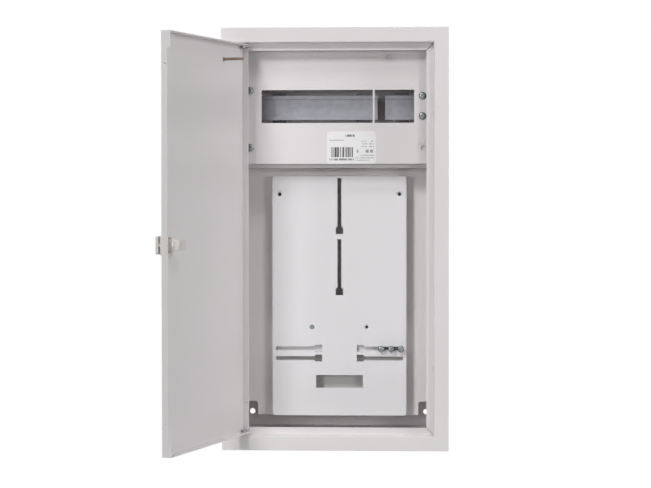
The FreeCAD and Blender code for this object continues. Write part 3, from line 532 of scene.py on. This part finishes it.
class Bench:
    """Mesh work with Blender's own modelling operators.

    Heights within NEAR are one, an upright edge leans by less than LINE, a straight normal has
    at least STRAIGHT along its axis, and faces shade smoothly up to the angle SMOOTH.
    """

    NEAR = 0.1 * MM
    LINE = 0.01 * MM
    STRAIGHT = 0.9
    SMOOTH = math.radians(32)

    @staticmethod
    def clear() -> None:
        """Deselect everything."""
        for item in bpy.context.view_layer.objects:
            item.select_set(False)

    @classmethod
    def take(cls, item: Item) -> None:
        """Make one object the selected and active one.

        Args:
            item: The object.
        """
        cls.clear()
        item.select_set(True)
        bpy.context.view_layer.objects.active = item

    @staticmethod
    def settle(name: str) -> Item:
        """Name the new primitive and put its place into its mesh.

        Args:
            name: The primitive's name.

        Returns:
            The primitive.
        """
        item = bpy.context.active_object
        item.name = name
        item.data.name = name
        bpy.ops.object.transform_apply(location=True, rotation=True, scale=True)
        return item

    @classmethod
    def rod(cls, name: str, radius: float, length: float, foot: float = 0.0, sides: int = 32) -> Item:
        """Add a cylinder along Z.

        Args:
            name: The object's name.
            radius: Its radius.
            length: Its length.
            foot: Height of its lower end.
            sides: Faces round it.

        Returns:
            The new object.
        """
        cls.clear()
        bpy.ops.mesh.primitive_cylinder_add(vertices=sides, radius=radius, depth=length,
                                            location=(0, 0, length / 2))
        item = cls.settle(name)
        item.data.transform(Matrix.Translation((0, 0, foot)))
        return item

    @classmethod
    def slab(cls, name: str, size: Place, centre: Place = (0, 0, 0)) -> Item:
        """Add a block.

        Args:
            name: The object's name.
            size: Its lengths along the axes.
            centre: Its middle.

        Returns:
            The new object.
        """
        cls.clear()
        bpy.ops.mesh.primitive_cube_add(size=1, location=centre, scale=size)
        return cls.settle(name)

    @classmethod
    @contextmanager
    def editing(cls, item: Item, kind: str = "FACE") -> Iterator[None]:
        """Work on one object in edit mode, with nothing selected at first.

        Args:
            item: The object.
            kind: What is selected in it.

        Yields:
            Nothing, while the object is in edit mode.
        """
        cls.take(item)
        bpy.ops.object.mode_set(mode="EDIT")
        bpy.ops.mesh.select_mode(type=kind)
        bpy.ops.mesh.select_all(action="DESELECT")
        try:
            yield
        finally:
            bpy.ops.object.mode_set(mode="OBJECT")

    @staticmethod
    def pick_faces(item: Item, wanted: FaceTest) -> None:
        """Select faces.

        Args:
            item: The object, in edit mode.
            wanted: Tells whether a face is selected.
        """
        mesh = bmesh.from_edit_mesh(item.data)
        for face in mesh.faces:
            face.select_set(wanted(face))
        mesh.select_flush_mode()
        bmesh.update_edit_mesh(item.data)

    @classmethod
    def round_edges(cls, item: Item, width: float, steps: int, wanted: EdgeTest) -> None:
        """Bevel the edges that a test wants.

        Args:
            item: The object.
            width: Width of the bevel.
            steps: Faces across it.
            wanted: Tells whether an edge is bevelled.
        """
        with cls.editing(item, "EDGE"):
            mesh = bmesh.from_edit_mesh(item.data)
            for edge in mesh.edges:
                edge.select_set(wanted(edge))
            bmesh.update_edit_mesh(item.data)
            bpy.ops.mesh.bevel(offset=width, segments=steps, profile=0.5, affect="EDGES")

    @classmethod
    def upright(cls, edge: bmesh.types.BMEdge) -> bool:
        """Tell whether an edge runs along Z."""
        return (edge.verts[0].co - edge.verts[1].co).xy.length < cls.LINE

    @classmethod
    def above(cls, height: float) -> EdgeTest:
        """Give the test for edges at a height or above it."""
        return lambda edge: all(vert.co.z > height - cls.NEAR for vert in edge.verts)

    @classmethod
    def below(cls, height: float) -> EdgeTest:
        """Give the test for edges at a height or below it."""
        return lambda edge: all(vert.co.z < height + cls.NEAR for vert in edge.verts)

    @staticmethod
    def along(axis: int, least: float) -> EdgeTest:
        """Give the test for edges that go further than a length along an axis."""
        return lambda edge: abs((edge.verts[0].co - edge.verts[1].co)[axis]) > least

    @classmethod
    def looking(cls, way: int) -> FaceTest:
        """Give the test for faces that look straight up, for 1, or down, for -1."""
        return lambda face: face.normal.z * way > cls.STRAIGHT

    @staticmethod
    def extrude(move: Place) -> None:
        """Extrude the selected faces."""
        bpy.ops.mesh.extrude_region_move(TRANSFORM_OT_translate={"value": move})

    @staticmethod
    def taper(share: float) -> None:
        """Scale the selected faces across Z."""
        bpy.ops.transform.resize(value=(share, share, 1))

    @classmethod
    def thread(cls, turns: int, pitch: float, groove: float) -> None:
        """Extrude the selected end of a rod into a thread.

        Args:
            turns: Number of its turns.
            pitch: Length of a turn along Z, with its sign.
            groove: Radius of the groove, as a share of the rod's.
        """
        for _ in range(turns):
            for share in (groove, 1 / groove):
                cls.extrude((0, 0, pitch / 2))
                cls.taper(share)

    @classmethod
    def merge(cls, items: Iterable[Item], name: str) -> Item:
        """Join several objects into one mesh.

        Args:
            items: The objects.
            name: Name of the joined object.

        Returns:
            The joined object.
        """
        first, *rest = items
        cls.take(first)
        for item in rest:
            item.select_set(True)
        bpy.ops.object.join()
        first.name = name
        first.data.name = name
        return first

    @classmethod
    def combine(cls, item: Item, tool: Item, operation: str = "DIFFERENCE") -> None:
        """Take a tool's volume out of an object, or add it, and remove the tool.

        Args:
            item: The object.
            tool: The other volume.
            operation: The Boolean modifier's operation.
        """
        cls.take(item)
        step = item.modifiers.new("combine", "BOOLEAN")
        step.operation = operation
        step.solver = "EXACT"
        step.object = tool
        bpy.ops.object.modifier_apply(modifier=step.name)
        bpy.data.objects.remove(tool)

    @staticmethod
    def copy(item: Item, name: str, matrix: Matrix) -> Item:
        """Copy an object with a mesh of its own and put it in its place.

        Args:
            item: The object.
            name: The copy's name.
            matrix: The copy's move.

        Returns:
            The copy.
        """
        twin = item.copy()
        twin.data = item.data.copy()
        twin.name = name
        twin.data.name = name
        twin.data.transform(matrix)
        bpy.context.scene.collection.objects.link(twin)
        return twin

    @staticmethod
    def dress(item: Item, material: Material) -> None:
        """Give an object a material in place of its own.

        Args:
            item: The object.
            material: The material.
        """
        item.data.materials.clear()
        item.data.materials.append(material)
        LOG.info("%s: dressed with %s", item.name, material.name)

    @classmethod
    def finish(cls, item: Item, material: Material, body: str, slot: Slot, *replaced: str) -> None:
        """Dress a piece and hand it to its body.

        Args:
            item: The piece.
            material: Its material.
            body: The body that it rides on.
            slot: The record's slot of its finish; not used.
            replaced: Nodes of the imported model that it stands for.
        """
        cls.take(item)
        bpy.ops.object.shade_smooth_by_angle(angle=cls.SMOOTH)
        cls.dress(item, material)
        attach(item, body)
        if replaced:
            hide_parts(*replaced)
        LOG.info("%s: %d faces on %s", item.name, len(item.data.polygons), body)


@dataclass(frozen=True)
class Screw:
    """A cross-head screw modelled once, head up, with its seat at the origin."""

    head: float
    height: float
    shank: float
    length: float
    pitch: float = 0.8 * MM
    dome: float = 0.6
    sink: bool = False
    recess_depth: float = 0.62
    recess_rise: float = 0.1
    arm_length: float = 1.12
    arm_width: float = 0.26
    arm_taper: float = 0.6
    groove: float = 0.84
    point: float = 0.86

    def _head(self) -> Item:
        """Model the head with its recess.

        Returns:
            The head.
        """
        radius = self.head / 2
        head = Bench.rod("screw_head", radius, self.height, sides=40)
        if self.sink:
            with Bench.editing(head):
                Bench.pick_faces(head, Bench.looking(-1))
                Bench.taper(self.shank / self.head)
        else:
            Bench.round_edges(head, self.height * self.dome, 5, Bench.above(self.height))
        Bench.combine(head, self._driver(radius))
        return head

    def _driver(self, radius: float) -> Item:
        """Model the tool that leaves the recess.

        Args:
            radius: The head's radius.

        Returns:
            The tool.
        """
        depth = self.height * self.recess_depth
        middle = (0, 0, self.height + depth * self.recess_rise)
        wide, long = radius * self.arm_width, radius * self.arm_length
        arms = []
        for across, along in ((long, wide), (wide, long)):
            arm = Bench.slab("driver", (across, along, depth * 2), middle)
            with Bench.editing(arm):
                Bench.pick_faces(arm, Bench.looking(-1))
                Bench.taper(self.arm_taper)
            arms.append(arm)
        Bench.combine(arms[0], arms[1], "UNION")
        return arms[0]

    def _shank(self) -> Item:
        """Model the shank with its thread, downwards from the seat.

        Returns:
            The shank.
        """
        turns = max(2, int((self.length - self.pitch) / self.pitch))
        start = self.length - turns * self.pitch
        shank = Bench.rod("screw_shank", self.shank / 2, start, -start, sides=20)
        with Bench.editing(shank):
            Bench.pick_faces(shank, Bench.looking(-1))
            Bench.thread(turns, -self.pitch, self.groove)
            Bench.taper(self.point)
        return shank

    def model(self, name: str = "screw_model") -> Item:
        """Model the whole screw."""
        return Bench.merge([self._head(), self._shank()], name)


def made(finish: PowderCoat | ZincPlate | MouldedPlastic | LabelPrint) -> Material:
    """Give the field of a dataclass that builds a finish's material."""
    return field(default_factory=finish.make)


@dataclass
class Finishes:
    """The materials that the pieces share."""

    paint: Material = made(PowderCoat())
    # The plate's coat is a lighter copy of the powder coat: painted light, making up for light that falls
    # short on the plate deep in the box.
    plate: Material = made(PowderCoat("plate_coat_painted_light", (0.885, 0.858, 0.852), (0.865, 0.838, 0.825)))
    # The rail's zinc has a dark base colour: painted reflection, standing in for the dark surround that
    # bright zinc plate mirrors.
    rail: Material = made(
        ZincPlate("rail_zinc", (0.25, 0.25, 0.275), (0.205, 0.205, 0.228), 0.40, ZincPlate.DRAWN))
    # The screw and pin zinc are darkened the same way: painted reflection of a dark surround in their base
    # colours.
    screw: Material = made(ZincPlate("screw_zinc", (0.25, 0.27, 0.28), (0.13, 0.14, 0.15), 0.26))
    pin: Material = made(ZincPlate("pin_zinc", (0.30, 0.31, 0.33), (0.20, 0.21, 0.23), 0.34))
    lock_nut: Material = made(ZincPlate("lock_nut_zinc", (0.46, 0.40, 0.33), (0.30, 0.26, 0.21), 0.42))
    # The stud's copper is much darker than bright copper plate: painted shade, standing in for the dark line
    # of its shaded underside.
    copper: Material = made(ZincPlate("copper_plate", (0.33, 0.25, 0.22), (0.23, 0.17, 0.15), 0.40))
    board: Material = made(MouldedPlastic())
    lock: Material = made(MouldedPlastic("lock_plastic", (0.74, 0.72, 0.70), (0.70, 0.68, 0.66), 0.30))
    label: Material = made(LabelPrint())


@dataclass
class Enclosure:
    """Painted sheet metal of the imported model, its rails and the frame's screws.

    The screws' places are in millimetres.
    """

    finishes: Finishes
    painted: tuple[str, ...] = ("wall_box", "front_frame", "section_shelf", "cover_bracket_left",
                                "cover_bracket_right", "cover_bracket_top", "module_cover",
                                "door_panel")
    rails: tuple[str, ...] = ("rail_long", "rail_short", "rail_bracket_1", "rail_bracket_2",
                              "rail_bracket_3")
    screw_size: Screw = Screw(5.6 * MM, 1.3 * MM, 4 * MM, 10 * MM, pitch=0.7 * MM)
    screw_across: float = 138.0
    screw_depth: float = 12.3
    screw_up: float = 180.0
    sheet: float = 1.2 * MM
    sheet_edge: float = 0.4 * MM
    seam: float = 0.1 * MM

    def build(self) -> None:
        """Dress the sheet metal, set the frame's screws and close the plate's top."""
        # The mounting plate takes the lighter coat, which has painted light in its colour.
        plate = ("mounting_plate",)
        for names, material in ((self.painted, self.finishes.paint), (plate, self.finishes.plate),
                                (self.rails, self.finishes.rail)):
            for name in names:
                Bench.dress(frame["nodes"][name], material)
        self._frame_screws()
        self._plate_edge()

    def _frame_screws(self) -> None:
        """Set the screws that hold the frame to the box's side walls."""
        model = self.screw_size.model()
        for side, side_name in ((-1, "left"), (1, "right")):
            for level, level_name in ((-1, "foot"), (1, "top")):
                seat = spot(side * self.screw_across, self.screw_depth, level * self.screw_up)
                name = f"frame_screw_{side_name}_{level_name}"
                piece = Bench.copy(model, name, seat @ spin(-90 * side, "Y"))
                Bench.finish(piece, self.finishes.paint, "box", Slot.PAINT, "frame_screws")
        bpy.data.objects.remove(model)

    def _plate_edge(self) -> None:
        """Carry the mounting plate's face up to the shelf."""
        low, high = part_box("mounting_plate")
        foot = high.z + self.seam
        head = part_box("section_shelf")[0].z - self.seam
        middle = ((low.x + high.x) / 2, low.y + self.sheet / 2, (foot + head) / 2)
        edge = Bench.slab("plate_top_edge", (high.x - low.x, self.sheet, head - foot), middle)
        Bench.round_edges(edge, self.sheet_edge, 2, Bench.along(0, self.sheet))
        # The edge takes the plate's lighter coat, which has painted light in its colour.
        Bench.finish(edge, self.finishes.plate, "box", Slot.PAINT)


@dataclass
class ModuleSection:
    """Screws, label and seal tabs of the module cover.

    Sizes and places are in millimetres. A screw's numbers are across, up and its turn in degrees.
    """

    finishes: Finishes
    screw_size: Screw = Screw(10.6 * MM, 3.4 * MM, 5 * MM, 14 * MM, dome=0.75)
    screws: tuple[Place, ...] = ((122.3, 202.5, 35), (122.3, 173.9, 70), (-122.3, 210.1, 20),
                                 (-122.3, 129.4, 55))
    cover_depth: float = 40.0
    label_middle: tuple[float, float] = (21.9, 129.4)
    label_size: Place = (69.0, 0.12, 45.6)
    label_lift: float = 0.08
    label_corner: float = 3.0
    label_tilt: float = -0.45
    seal_holes: tuple[tuple[str, float, float], ...] = (("top", 74.6, 257.3), ("side", 124.2, 128.7))
    tab_depth: float = 45.0
    tab_size: Place = (13.0, 1.2, 13.0)
    tab_corner: float = 1.5

    def build(self) -> None:
        """Set the cover's screws, stick the label on and back the seal holes."""
        model = self.screw_size.model()
        for number, (across, up, turn) in enumerate(self.screws, start=1):
            seat = front_seat(across, self.cover_depth, up, turn)
            piece = Bench.copy(model, f"cover_screw_{number}", seat)
            Bench.finish(piece, self.finishes.screw, "box", Slot.ZINC, "cover_screws")
        bpy.data.objects.remove(model)
        self._label()
        self._seal_tabs()

    @staticmethod
    def _sheet(name: str, size: Place, corner: float, steps: int) -> Item:
        """Model an upright sheet with rounded corners.

        Args:
            name: The sheet's name.
            size: Its width, thickness and height.
            corner: Radius of its corners.
            steps: Faces round a corner.

        Returns:
            The sheet, with its middle at the origin.
        """
        wide, thick, high = (length * MM for length in size)
        sheet = Bench.slab(name, (wide, thick, high))
        Bench.round_edges(sheet, corner * MM, steps, Bench.along(1, thick / 2))
        return sheet

    def _label(self) -> None:
        """Stick the label on the cover, a little askew."""
        across, up = self.label_middle
        label = self._sheet("cover_label", self.label_size, self.label_corner, 5)
        label.data.transform(spot(across, self.cover_depth - self.label_lift, up)
                             @ spin(self.label_tilt, "Y"))
        Bench.finish(label, self.finishes.label, "box", Slot.PAINT)

    def _seal_tabs(self) -> None:
        """Stand a painted tab behind each hole of a seal."""
        for place, across, up in self.seal_holes:
            tab = self._sheet(f"seal_tab_{place}", self.tab_size, self.tab_corner, 3)
            tab.data.transform(spot(across, self.tab_depth, up))
            Bench.finish(tab, self.finishes.paint, "box", Slot.PAINT)


@dataclass
class MeterPanel:
    """The meter board's finish, its screw and the three meter screws with their nuts.

    Places are in millimetres and turns in degrees.
    """

    finishes: Finishes
    board_screw: Screw = Screw(7.1 * MM, 1.55 * MM, 4 * MM, 27 * MM, sink=True, pitch=0.9 * MM)
    board_across: float = -36.2
    board_up: float = -127.9
    board_head: float = 78.55
    board_turn: float = 25.0
    meter_screw: Screw = Screw(9.4 * MM, 3 * MM, 5 * MM, 16 * MM, dome=0.7)
    meter_across: tuple[float, ...] = (63.6, 78.0, 91.4)
    meter_depth: float = 70.0
    meter_up: float = -158.7
    meter_turn: float = 40.0
    nut_side: float = 9 * MM
    nut_height: float = 3.2 * MM
    nut_edge: float = 0.5 * MM
    nut_play: float = 0.02 * MM
    nut_depth: float = 80.55

    def build(self) -> None:
        """Dress the board and set its fasteners."""
        Bench.dress(frame["nodes"]["meter_board"], self.finishes.board)
        self._board_screw()
        self._meter_fixings()

    def _board_screw(self) -> None:
        """Set the screw that holds the board."""
        depth = self.board_head + self.board_screw.height / MM
        piece = self.board_screw.model("board_screw_detailed")
        piece.data.transform(front_seat(self.board_across, depth, self.board_up, self.board_turn))
        Bench.finish(piece, self.finishes.screw, "box", Slot.ZINC, "board_screw")

    def _meter_fixings(self) -> None:
        """Set the screws that stand in the slot, each with its nut."""
        screw = self.meter_screw.model()
        nut = self._nut()
        for number, across in enumerate(self.meter_across, start=1):
            screw_seat = front_seat(across, self.meter_depth, self.meter_up, self.meter_turn * number)
            nut_seat = spot(across, self.nut_depth, self.meter_up) @ spin(-90, "X")
            for kind, model, seat in (("screw", screw, screw_seat), ("nut", nut, nut_seat)):
                node = f"meter_{kind}_{number}"
                piece = Bench.copy(model, f"{node}_detailed", seat)
                Bench.finish(piece, self.finishes.screw, f"meter_fixing_{number}", Slot.ZINC, node)
        bpy.data.objects.remove(screw)
        bpy.data.objects.remove(nut)

    def _nut(self) -> Item:
        """Model a square nut, chamfered round its outer face.

        Returns:
            The nut.
        """
        size = (self.nut_side, self.nut_side, self.nut_height)
        nut = Bench.slab("nut_model", size, (0, 0, self.nut_height / 2))
        Bench.round_edges(nut, self.nut_edge, 1, Bench.above(self.nut_height))
        Bench.combine(nut, Bench.rod("nut_bore", self.meter_screw.shank / 2 + self.nut_play,
                                     self.nut_height * 2, -self.nut_height / 2, sides=24))
        return nut


@dataclass(frozen=True)
class DoorPlace:
    """Where the open door hangs: its hinge in millimetres and its opening in degrees."""

    hinge_across: float = -128.0
    hinge_depth: float = 5.5
    opening: float = 107.2

    def seat(self, across: float, inward: float, up: float) -> Matrix:
        """Place a piece that is modelled along Z on the door, with Z pointing out of its inner face.

        Args:
            across: Distance from the hinge, in millimetres.
            inward: Distance behind the door's outer face, in millimetres.
            up: Height, in millimetres.

        Returns:
            The move.
        """
        hinge = spot(self.hinge_across, self.hinge_depth, 0) @ spin(-self.opening, "Z")
        local = Matrix.Translation((across * MM, (inward - self.hinge_depth) * MM, up * MM))
        return hinge @ local @ spin(-90, "X")


@dataclass
class DoorPart:
    """What the fittings of the door share. The door's sheet is in millimetres."""

    finishes: Finishes
    door: DoorPlace = DoorPlace()
    sheet: float = 1.2


@dataclass
class LockPart(DoorPart):
    """A part of the door's lock, modelled along Z from the door's outer face inwards.

    The lock's place on the door is in millimetres. A rod's three numbers are its radius,
    its length and the height of its foot.
    """

    across: float = 245.0
    up: float = -1.3

    def fit(self, item: Item, body: str, inward: float = 0.0) -> None:
        """Set a plastic part on the lock's axis.

        Args:
            item: The part, named after its node with "_detailed".
            body: The body that it rides on.
            inward: Distance of its origin behind the door's outer face, in millimetres.
        """
        item.data.transform(self.door.seat(self.across, inward, self.up))
        node = item.name.removesuffix("_detailed")
        Bench.finish(item, self.finishes.lock, body, Slot.LOCK, node)


@dataclass
class LockHousing(LockPart):
    """The lock's housing, a square face outside and a barrel through the door, and its nut."""

    face: Place = (27 * MM, 27 * MM, 4 * MM)
    face_corner: float = 3 * MM
    face_edge: float = 0.8 * MM
    barrel: Place = (8 * MM, 13.5 * MM, -1 * MM)
    barrel_edge: float = 0.5 * MM
    bore: Place = (4.5 * MM, 24 * MM, -6 * MM)
    nut_radius: float = 10.4 * MM
    nut_height: float = 3.3 * MM
    nut_edge: float = 0.7 * MM
    nut_bore: Place = (8.1 * MM, 8 * MM, -2 * MM)
    notch: Place = (3 * MM, 1.6 * MM, 5 * MM)
    notch_middle: Place = (10.6 * MM, 0, 3.4 * MM)
    notches: int = 4

    def build(self) -> None:
        """Build the housing and its nut."""
        self._housing()
        self._nut()

    def _housing(self) -> None:
        """Model the housing, with the hole for the knob's shaft."""
        housing = Bench.slab("lock_housing_detailed", self.face, (0, 0, -self.face[2] / 2))
        Bench.round_edges(housing, self.face_corner, 5, Bench.upright)
        Bench.round_edges(housing, self.face_edge, 3, Bench.below(-self.face[2]))
        barrel = Bench.rod("lock_barrel", *self.barrel, sides=48)
        Bench.round_edges(barrel, self.barrel_edge, 2, Bench.above(sum(self.barrel[1:])))
        Bench.combine(housing, barrel, "UNION")
        Bench.combine(housing, Bench.rod("lock_bore", *self.bore))
        self.fit(housing, "door")

    def _nut(self) -> None:
        """Model the thin round nut behind the door, with notches for its key."""
        nut = Bench.rod("lock_nut_detailed", self.nut_radius, self.nut_height, sides=40)
        Bench.round_edges(nut, self.nut_edge, 2, Bench.above(self.nut_height))
        Bench.combine(nut, Bench.rod("nut_bore", *self.nut_bore, sides=40))
        for number in range(self.notches):
            notch = Bench.slab("nut_notch", self.notch, self.notch_middle)
            notch.data.transform(spin((number + 0.5) * 360 / self.notches, "Z"))
            Bench.combine(nut, notch)
        nut.data.transform(self.door.seat(self.across, self.sheet, self.up))
        Bench.finish(nut, self.finishes.lock_nut, "door", Slot.NUT, "lock_nut")


@dataclass
class LockKnob(LockPart):
    """The turning knob: a square cap with a groove on a thin grip rib, and its shaft."""

    cap: Place = (23.6 * MM, 23.6 * MM, 3.9 * MM)
    cap_level: float = -9.05 * MM
    cap_corner: float = 2.2 * MM
    edge: float = 0.5 * MM
    groove: Place = (16 * MM, 2.2 * MM, 2.4 * MM)
    groove_level: float = -11 * MM
    neck: Place = (6 * MM, 3.02 * MM, -7.1 * MM)
    rib: Place = (21.6 * MM, 3.4 * MM, 3.02 * MM)
    rib_level: float = -5.59 * MM
    shaft: Place = (4.42 * MM, 19.9 * MM, -7.1 * MM)
    square: Place = (6.5 * MM, 6.5 * MM, 4.8 * MM)
    square_level: float = 15.2 * MM

    def build(self) -> None:
        """Build the knob."""
        cap = Bench.slab("knob_cap", self.cap, (0, 0, self.cap_level))
        Bench.round_edges(cap, self.cap_corner, 5, Bench.upright)
        Bench.round_edges(cap, self.edge, 3, lambda edge: not Bench.upright(edge))
        Bench.combine(cap, Bench.slab("knob_groove", self.groove, (0, 0, self.groove_level)))
        neck = Bench.rod("knob_neck", *self.neck, sides=40)
        rib = Bench.slab("knob_rib", self.rib, (0, 0, self.rib_level))
        Bench.round_edges(rib, self.edge, 2, Bench.upright)
        shaft = Bench.rod("knob_shaft", *self.shaft)
        square = Bench.slab("knob_square", self.square, (0, 0, self.square_level))
        self.fit(Bench.merge([cap, neck, rib, shaft, square], "lock_knob_detailed"), "lock")


@dataclass
class LockCam(LockPart):
    """The cam, a block with a short arm, and the flush screw that holds it."""

    block: Place = (13 * MM, 13 * MM, 6.5 * MM)
    block_level: float = 16.05 * MM
    arm_level: float = 17 * MM
    arm_length: float = 11 * MM
    arm_corner: float = 3.2 * MM
    edge: float = 0.35 * MM
    sharp: float = math.radians(40)
    bore: Place = (3.3 * MM, 4 * MM, 17.7 * MM)
    screw: Screw = Screw(6.4 * MM, 1.6 * MM, 3 * MM, 9.8 * MM, dome=0.3, pitch=0.6 * MM)
    screw_seat: float = 17.75

    def build(self) -> None:
        """Build the cam and its screw."""
        cam = Bench.slab("lock_cam_detailed", self.block, (0, 0, self.block_level))
        with Bench.editing(cam):
            bpy.ops.mesh.select_all(action="SELECT")
            bpy.ops.mesh.bisect(plane_co=(0, 0, self.arm_level), plane_no=(0, 0, 1))
            Bench.pick_faces(cam, lambda face: face.normal.x < -Bench.STRAIGHT
                             and face.calc_center_median().z > self.arm_level)
            Bench.extrude((-self.arm_length, 0, 0))
        tip = -self.block[0] / 2 - self.arm_length
        Bench.round_edges(cam, self.arm_corner, 5, lambda edge: Bench.upright(edge)
                          and edge.verts[0].co.x < tip + Bench.NEAR)
        Bench.round_edges(cam, self.edge, 2, lambda edge: edge.calc_face_angle(0) > self.sharp)
        Bench.combine(cam, Bench.rod("cam_bore", *self.bore))
        self.fit(cam, "lock")
        self.fit(self.screw.model("cam_screw_detailed"), "lock", self.screw_seat)


@dataclass
class EarthStud(DoorPart):
    """The threaded earth stud with its welded foot. Its place on the door is in millimetres."""

    across: float = 61.0
    up: float = 248.8
    radius: float = 2 * MM
    base: float = 4 * MM
    turns: int = 35
    pitch: float = 0.7 * MM
    groove: float = 0.80
    tip: float = 0.9 * MM
    tip_share: float = 0.65
    foot_radius: float = 2.9 * MM
    foot_height: float = 0.9 * MM
    foot_edge: float = 0.5 * MM

    def build(self) -> None:
        """Build the stud."""
        stud = Bench.rod("stud_thread", self.radius, self.base, sides=20)
        with Bench.editing(stud):
            Bench.pick_faces(stud, Bench.looking(1))
            Bench.thread(self.turns, self.pitch, self.groove)
            Bench.extrude((0, 0, self.tip))
            Bench.taper(self.tip_share)
        foot = Bench.rod("stud_foot", self.foot_radius, self.foot_height, sides=24)
        Bench.round_edges(foot, self.foot_edge, 2, Bench.above(self.foot_height))
        stud = Bench.merge([stud, foot], "earth_stud_detailed")
        stud.data.transform(self.door.seat(self.across, self.sheet, self.up))
        Bench.finish(stud, self.finishes.copper, "door", Slot.COPPER, "earth_stud")


@dataclass
class HingePins(DoorPart):
    """The hinge pins with domed heads inside the door. Their height is in millimetres."""

    up: float = 267.7
    head_radius: float = 4.1 * MM
    head_height: float = 3.3 * MM
    head_edge: float = 1.1 * MM
    radius: float = 2.5 * MM
    length: float = 5.2 * MM
    tip: float = 0.4 * MM
    tip_share: float = 0.85

    def build(self) -> None:
        """Build both pins."""
        for label, level, turn in (("top", 1, 0), ("bottom", -1, 180)):
            pin = Bench.rod(f"hinge_pin_{label}_detailed", self.head_radius, self.head_height)
            Bench.round_edges(pin, self.head_edge, 3, Bench.below(0))
            with Bench.editing(pin):
                Bench.pick_faces(pin, Bench.looking(1))
                bpy.ops.mesh.inset(thickness=self.head_radius - self.radius, depth=0)
                Bench.extrude((0, 0, self.length))
                Bench.extrude((0, 0, self.tip))
                Bench.taper(self.tip_share)
            hinge = spot(self.door.hinge_across, self.door.hinge_depth, level * self.up)
            pin.data.transform(hinge @ spin(turn, "X"))
            Bench.finish(pin, self.finishes.pin, "box", Slot.ZINC, f"hinge_pin_{label}")


@dataclass
class Lamp:
    """A soft box of the studio."""

    name: str
    place: Place
    size: tuple[float, float]
    power: float

    def build(self, target: Place) -> None:
        """Hang the lamp and turn it to a place.

        Args:
            target: The place.
        """
        data = bpy.data.lights.new(self.name, "AREA")
        data.shape = "RECTANGLE"
        data.size, data.size_y = self.size
        data.energy = self.power
        lamp = bpy.data.objects.new(self.name, data)
        lamp.location = self.place
        look = Vector(target) - Vector(self.place)
        lamp.rotation_euler = look.to_track_quat("-Z", "Y").to_euler()
        bpy.context.scene.collection.objects.link(lamp)


@dataclass
class Studio:
    """Floor, white surround, lamps and camera, whose angles are in degrees."""

    camera_place: Place = (0.114934, -2.808159, 0.068869)
    yaw: float = 2.751
    pitch: float = -1.609
    roll: float = 0.044
    lens: float = 105.546
    sensor: float = 36.0
    clip: tuple[float, float] = (0.05, 50.0)
    white: tuple[float, ...] = (1.0, 1.0, 1.0, 1.0)
    ambient: float = 0.0
    subject: Place = (0.0, -0.1, 0.0)
    floor_height: float = -0.62
    floor_radius: float = 0.75
    floor_sides: int = 96
    lamps: tuple[Lamp, ...] = (
        Lamp("key_lamp", (-0.993, -2.687, 1.6), (0.45, 0.7), 36.0),
        Lamp("low_key_lamp", (-1.142, -3.076, 0.279), (0.45, 0.5), 12.0),
        Lamp("right_lamp", (1.449, -2.944, 0.223), (0.6, 0.5), 10.5),
        Lamp("top_lamp", (0.79, -2.08, 2.38), (0.7, 0.5), 13.5),
        Lamp("side_lamp", (2.0, -0.75, 0.4), (0.5, 0.8), 8.5),
        Lamp("high_side_lamp", (1.1, -0.45, 0.75), (0.25, 0.4), 4.0),
        Lamp("left_lamp", (-2.6, 0.75, 0.6), (0.9, 0.9), 42.0),
        Lamp("back_lamp", (0.5, 3.0, 0.9), (1.0, 1.0), 50.0),
    )

    def build(self) -> None:
        """Set the studio up."""
        bpy.context.scene.view_settings.view_transform = "Standard"
        self._world()
        self._floor()
        for lamp in self.lamps:
            lamp.build(self.subject)
        self._camera()

    def _world(self) -> None:
        """Make the surround white to the eye and dark as a light."""
        world = bpy.data.worlds.new("studio_surround")
        bpy.context.scene.world = world
        graph = Graph(world.name, world)
        light, view = (graph.node("ShaderNodeBackground", None, {"Color": self.white, "Strength": strength})
                       for strength in (self.ambient, 1.0))
        mix = graph.node("ShaderNodeMixShader", None,
                         {0: graph.shown(), 1: light.outputs[0], 2: view.outputs[0]})
        graph.node("ShaderNodeOutputWorld", None, {"Surface": mix.outputs[0]})

    def _floor(self) -> None:
        """Lay the pale floor under the object."""
        Bench.clear()
        centre = (*self.subject[:2], self.floor_height)
        bpy.ops.mesh.primitive_circle_add(vertices=self.floor_sides, radius=self.floor_radius,
                                          fill_type="NGON", location=centre)
        floor = Bench.settle("studio_floor")
        floor.data.materials.append(FloorPaper().make())

    def _camera(self) -> None:
        """Stand the camera where the photograph was taken."""
        data = bpy.data.cameras.new("photo_camera")
        data.sensor_fit = "HORIZONTAL"
        data.sensor_width = self.sensor
        data.lens = self.lens
        data.clip_start, data.clip_end = self.clip
        camera = bpy.data.objects.new("photo_camera", data)
        turn = spin(self.yaw, "Z") @ spin(self.pitch, "X") @ spin(self.roll, "Y")
        camera.matrix_world = Matrix.Translation(self.camera_place) @ turn @ spin(90, "X")
        bpy.context.scene.collection.objects.link(camera)
        bpy.context.scene.camera = camera


def main() -> None:
    """Dress the model, build the pieces and set up the studio."""
    logging.basicConfig(level=logging.INFO, format="%(name)s: %(message)s")
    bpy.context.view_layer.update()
    finishes = Finishes()
    for kind in (Enclosure, ModuleSection, MeterPanel, LockHousing, LockKnob, LockCam, EarthStud, HingePins):
        kind(finishes).build()
    Studio().build()


if __name__ == "__main__":
    main()
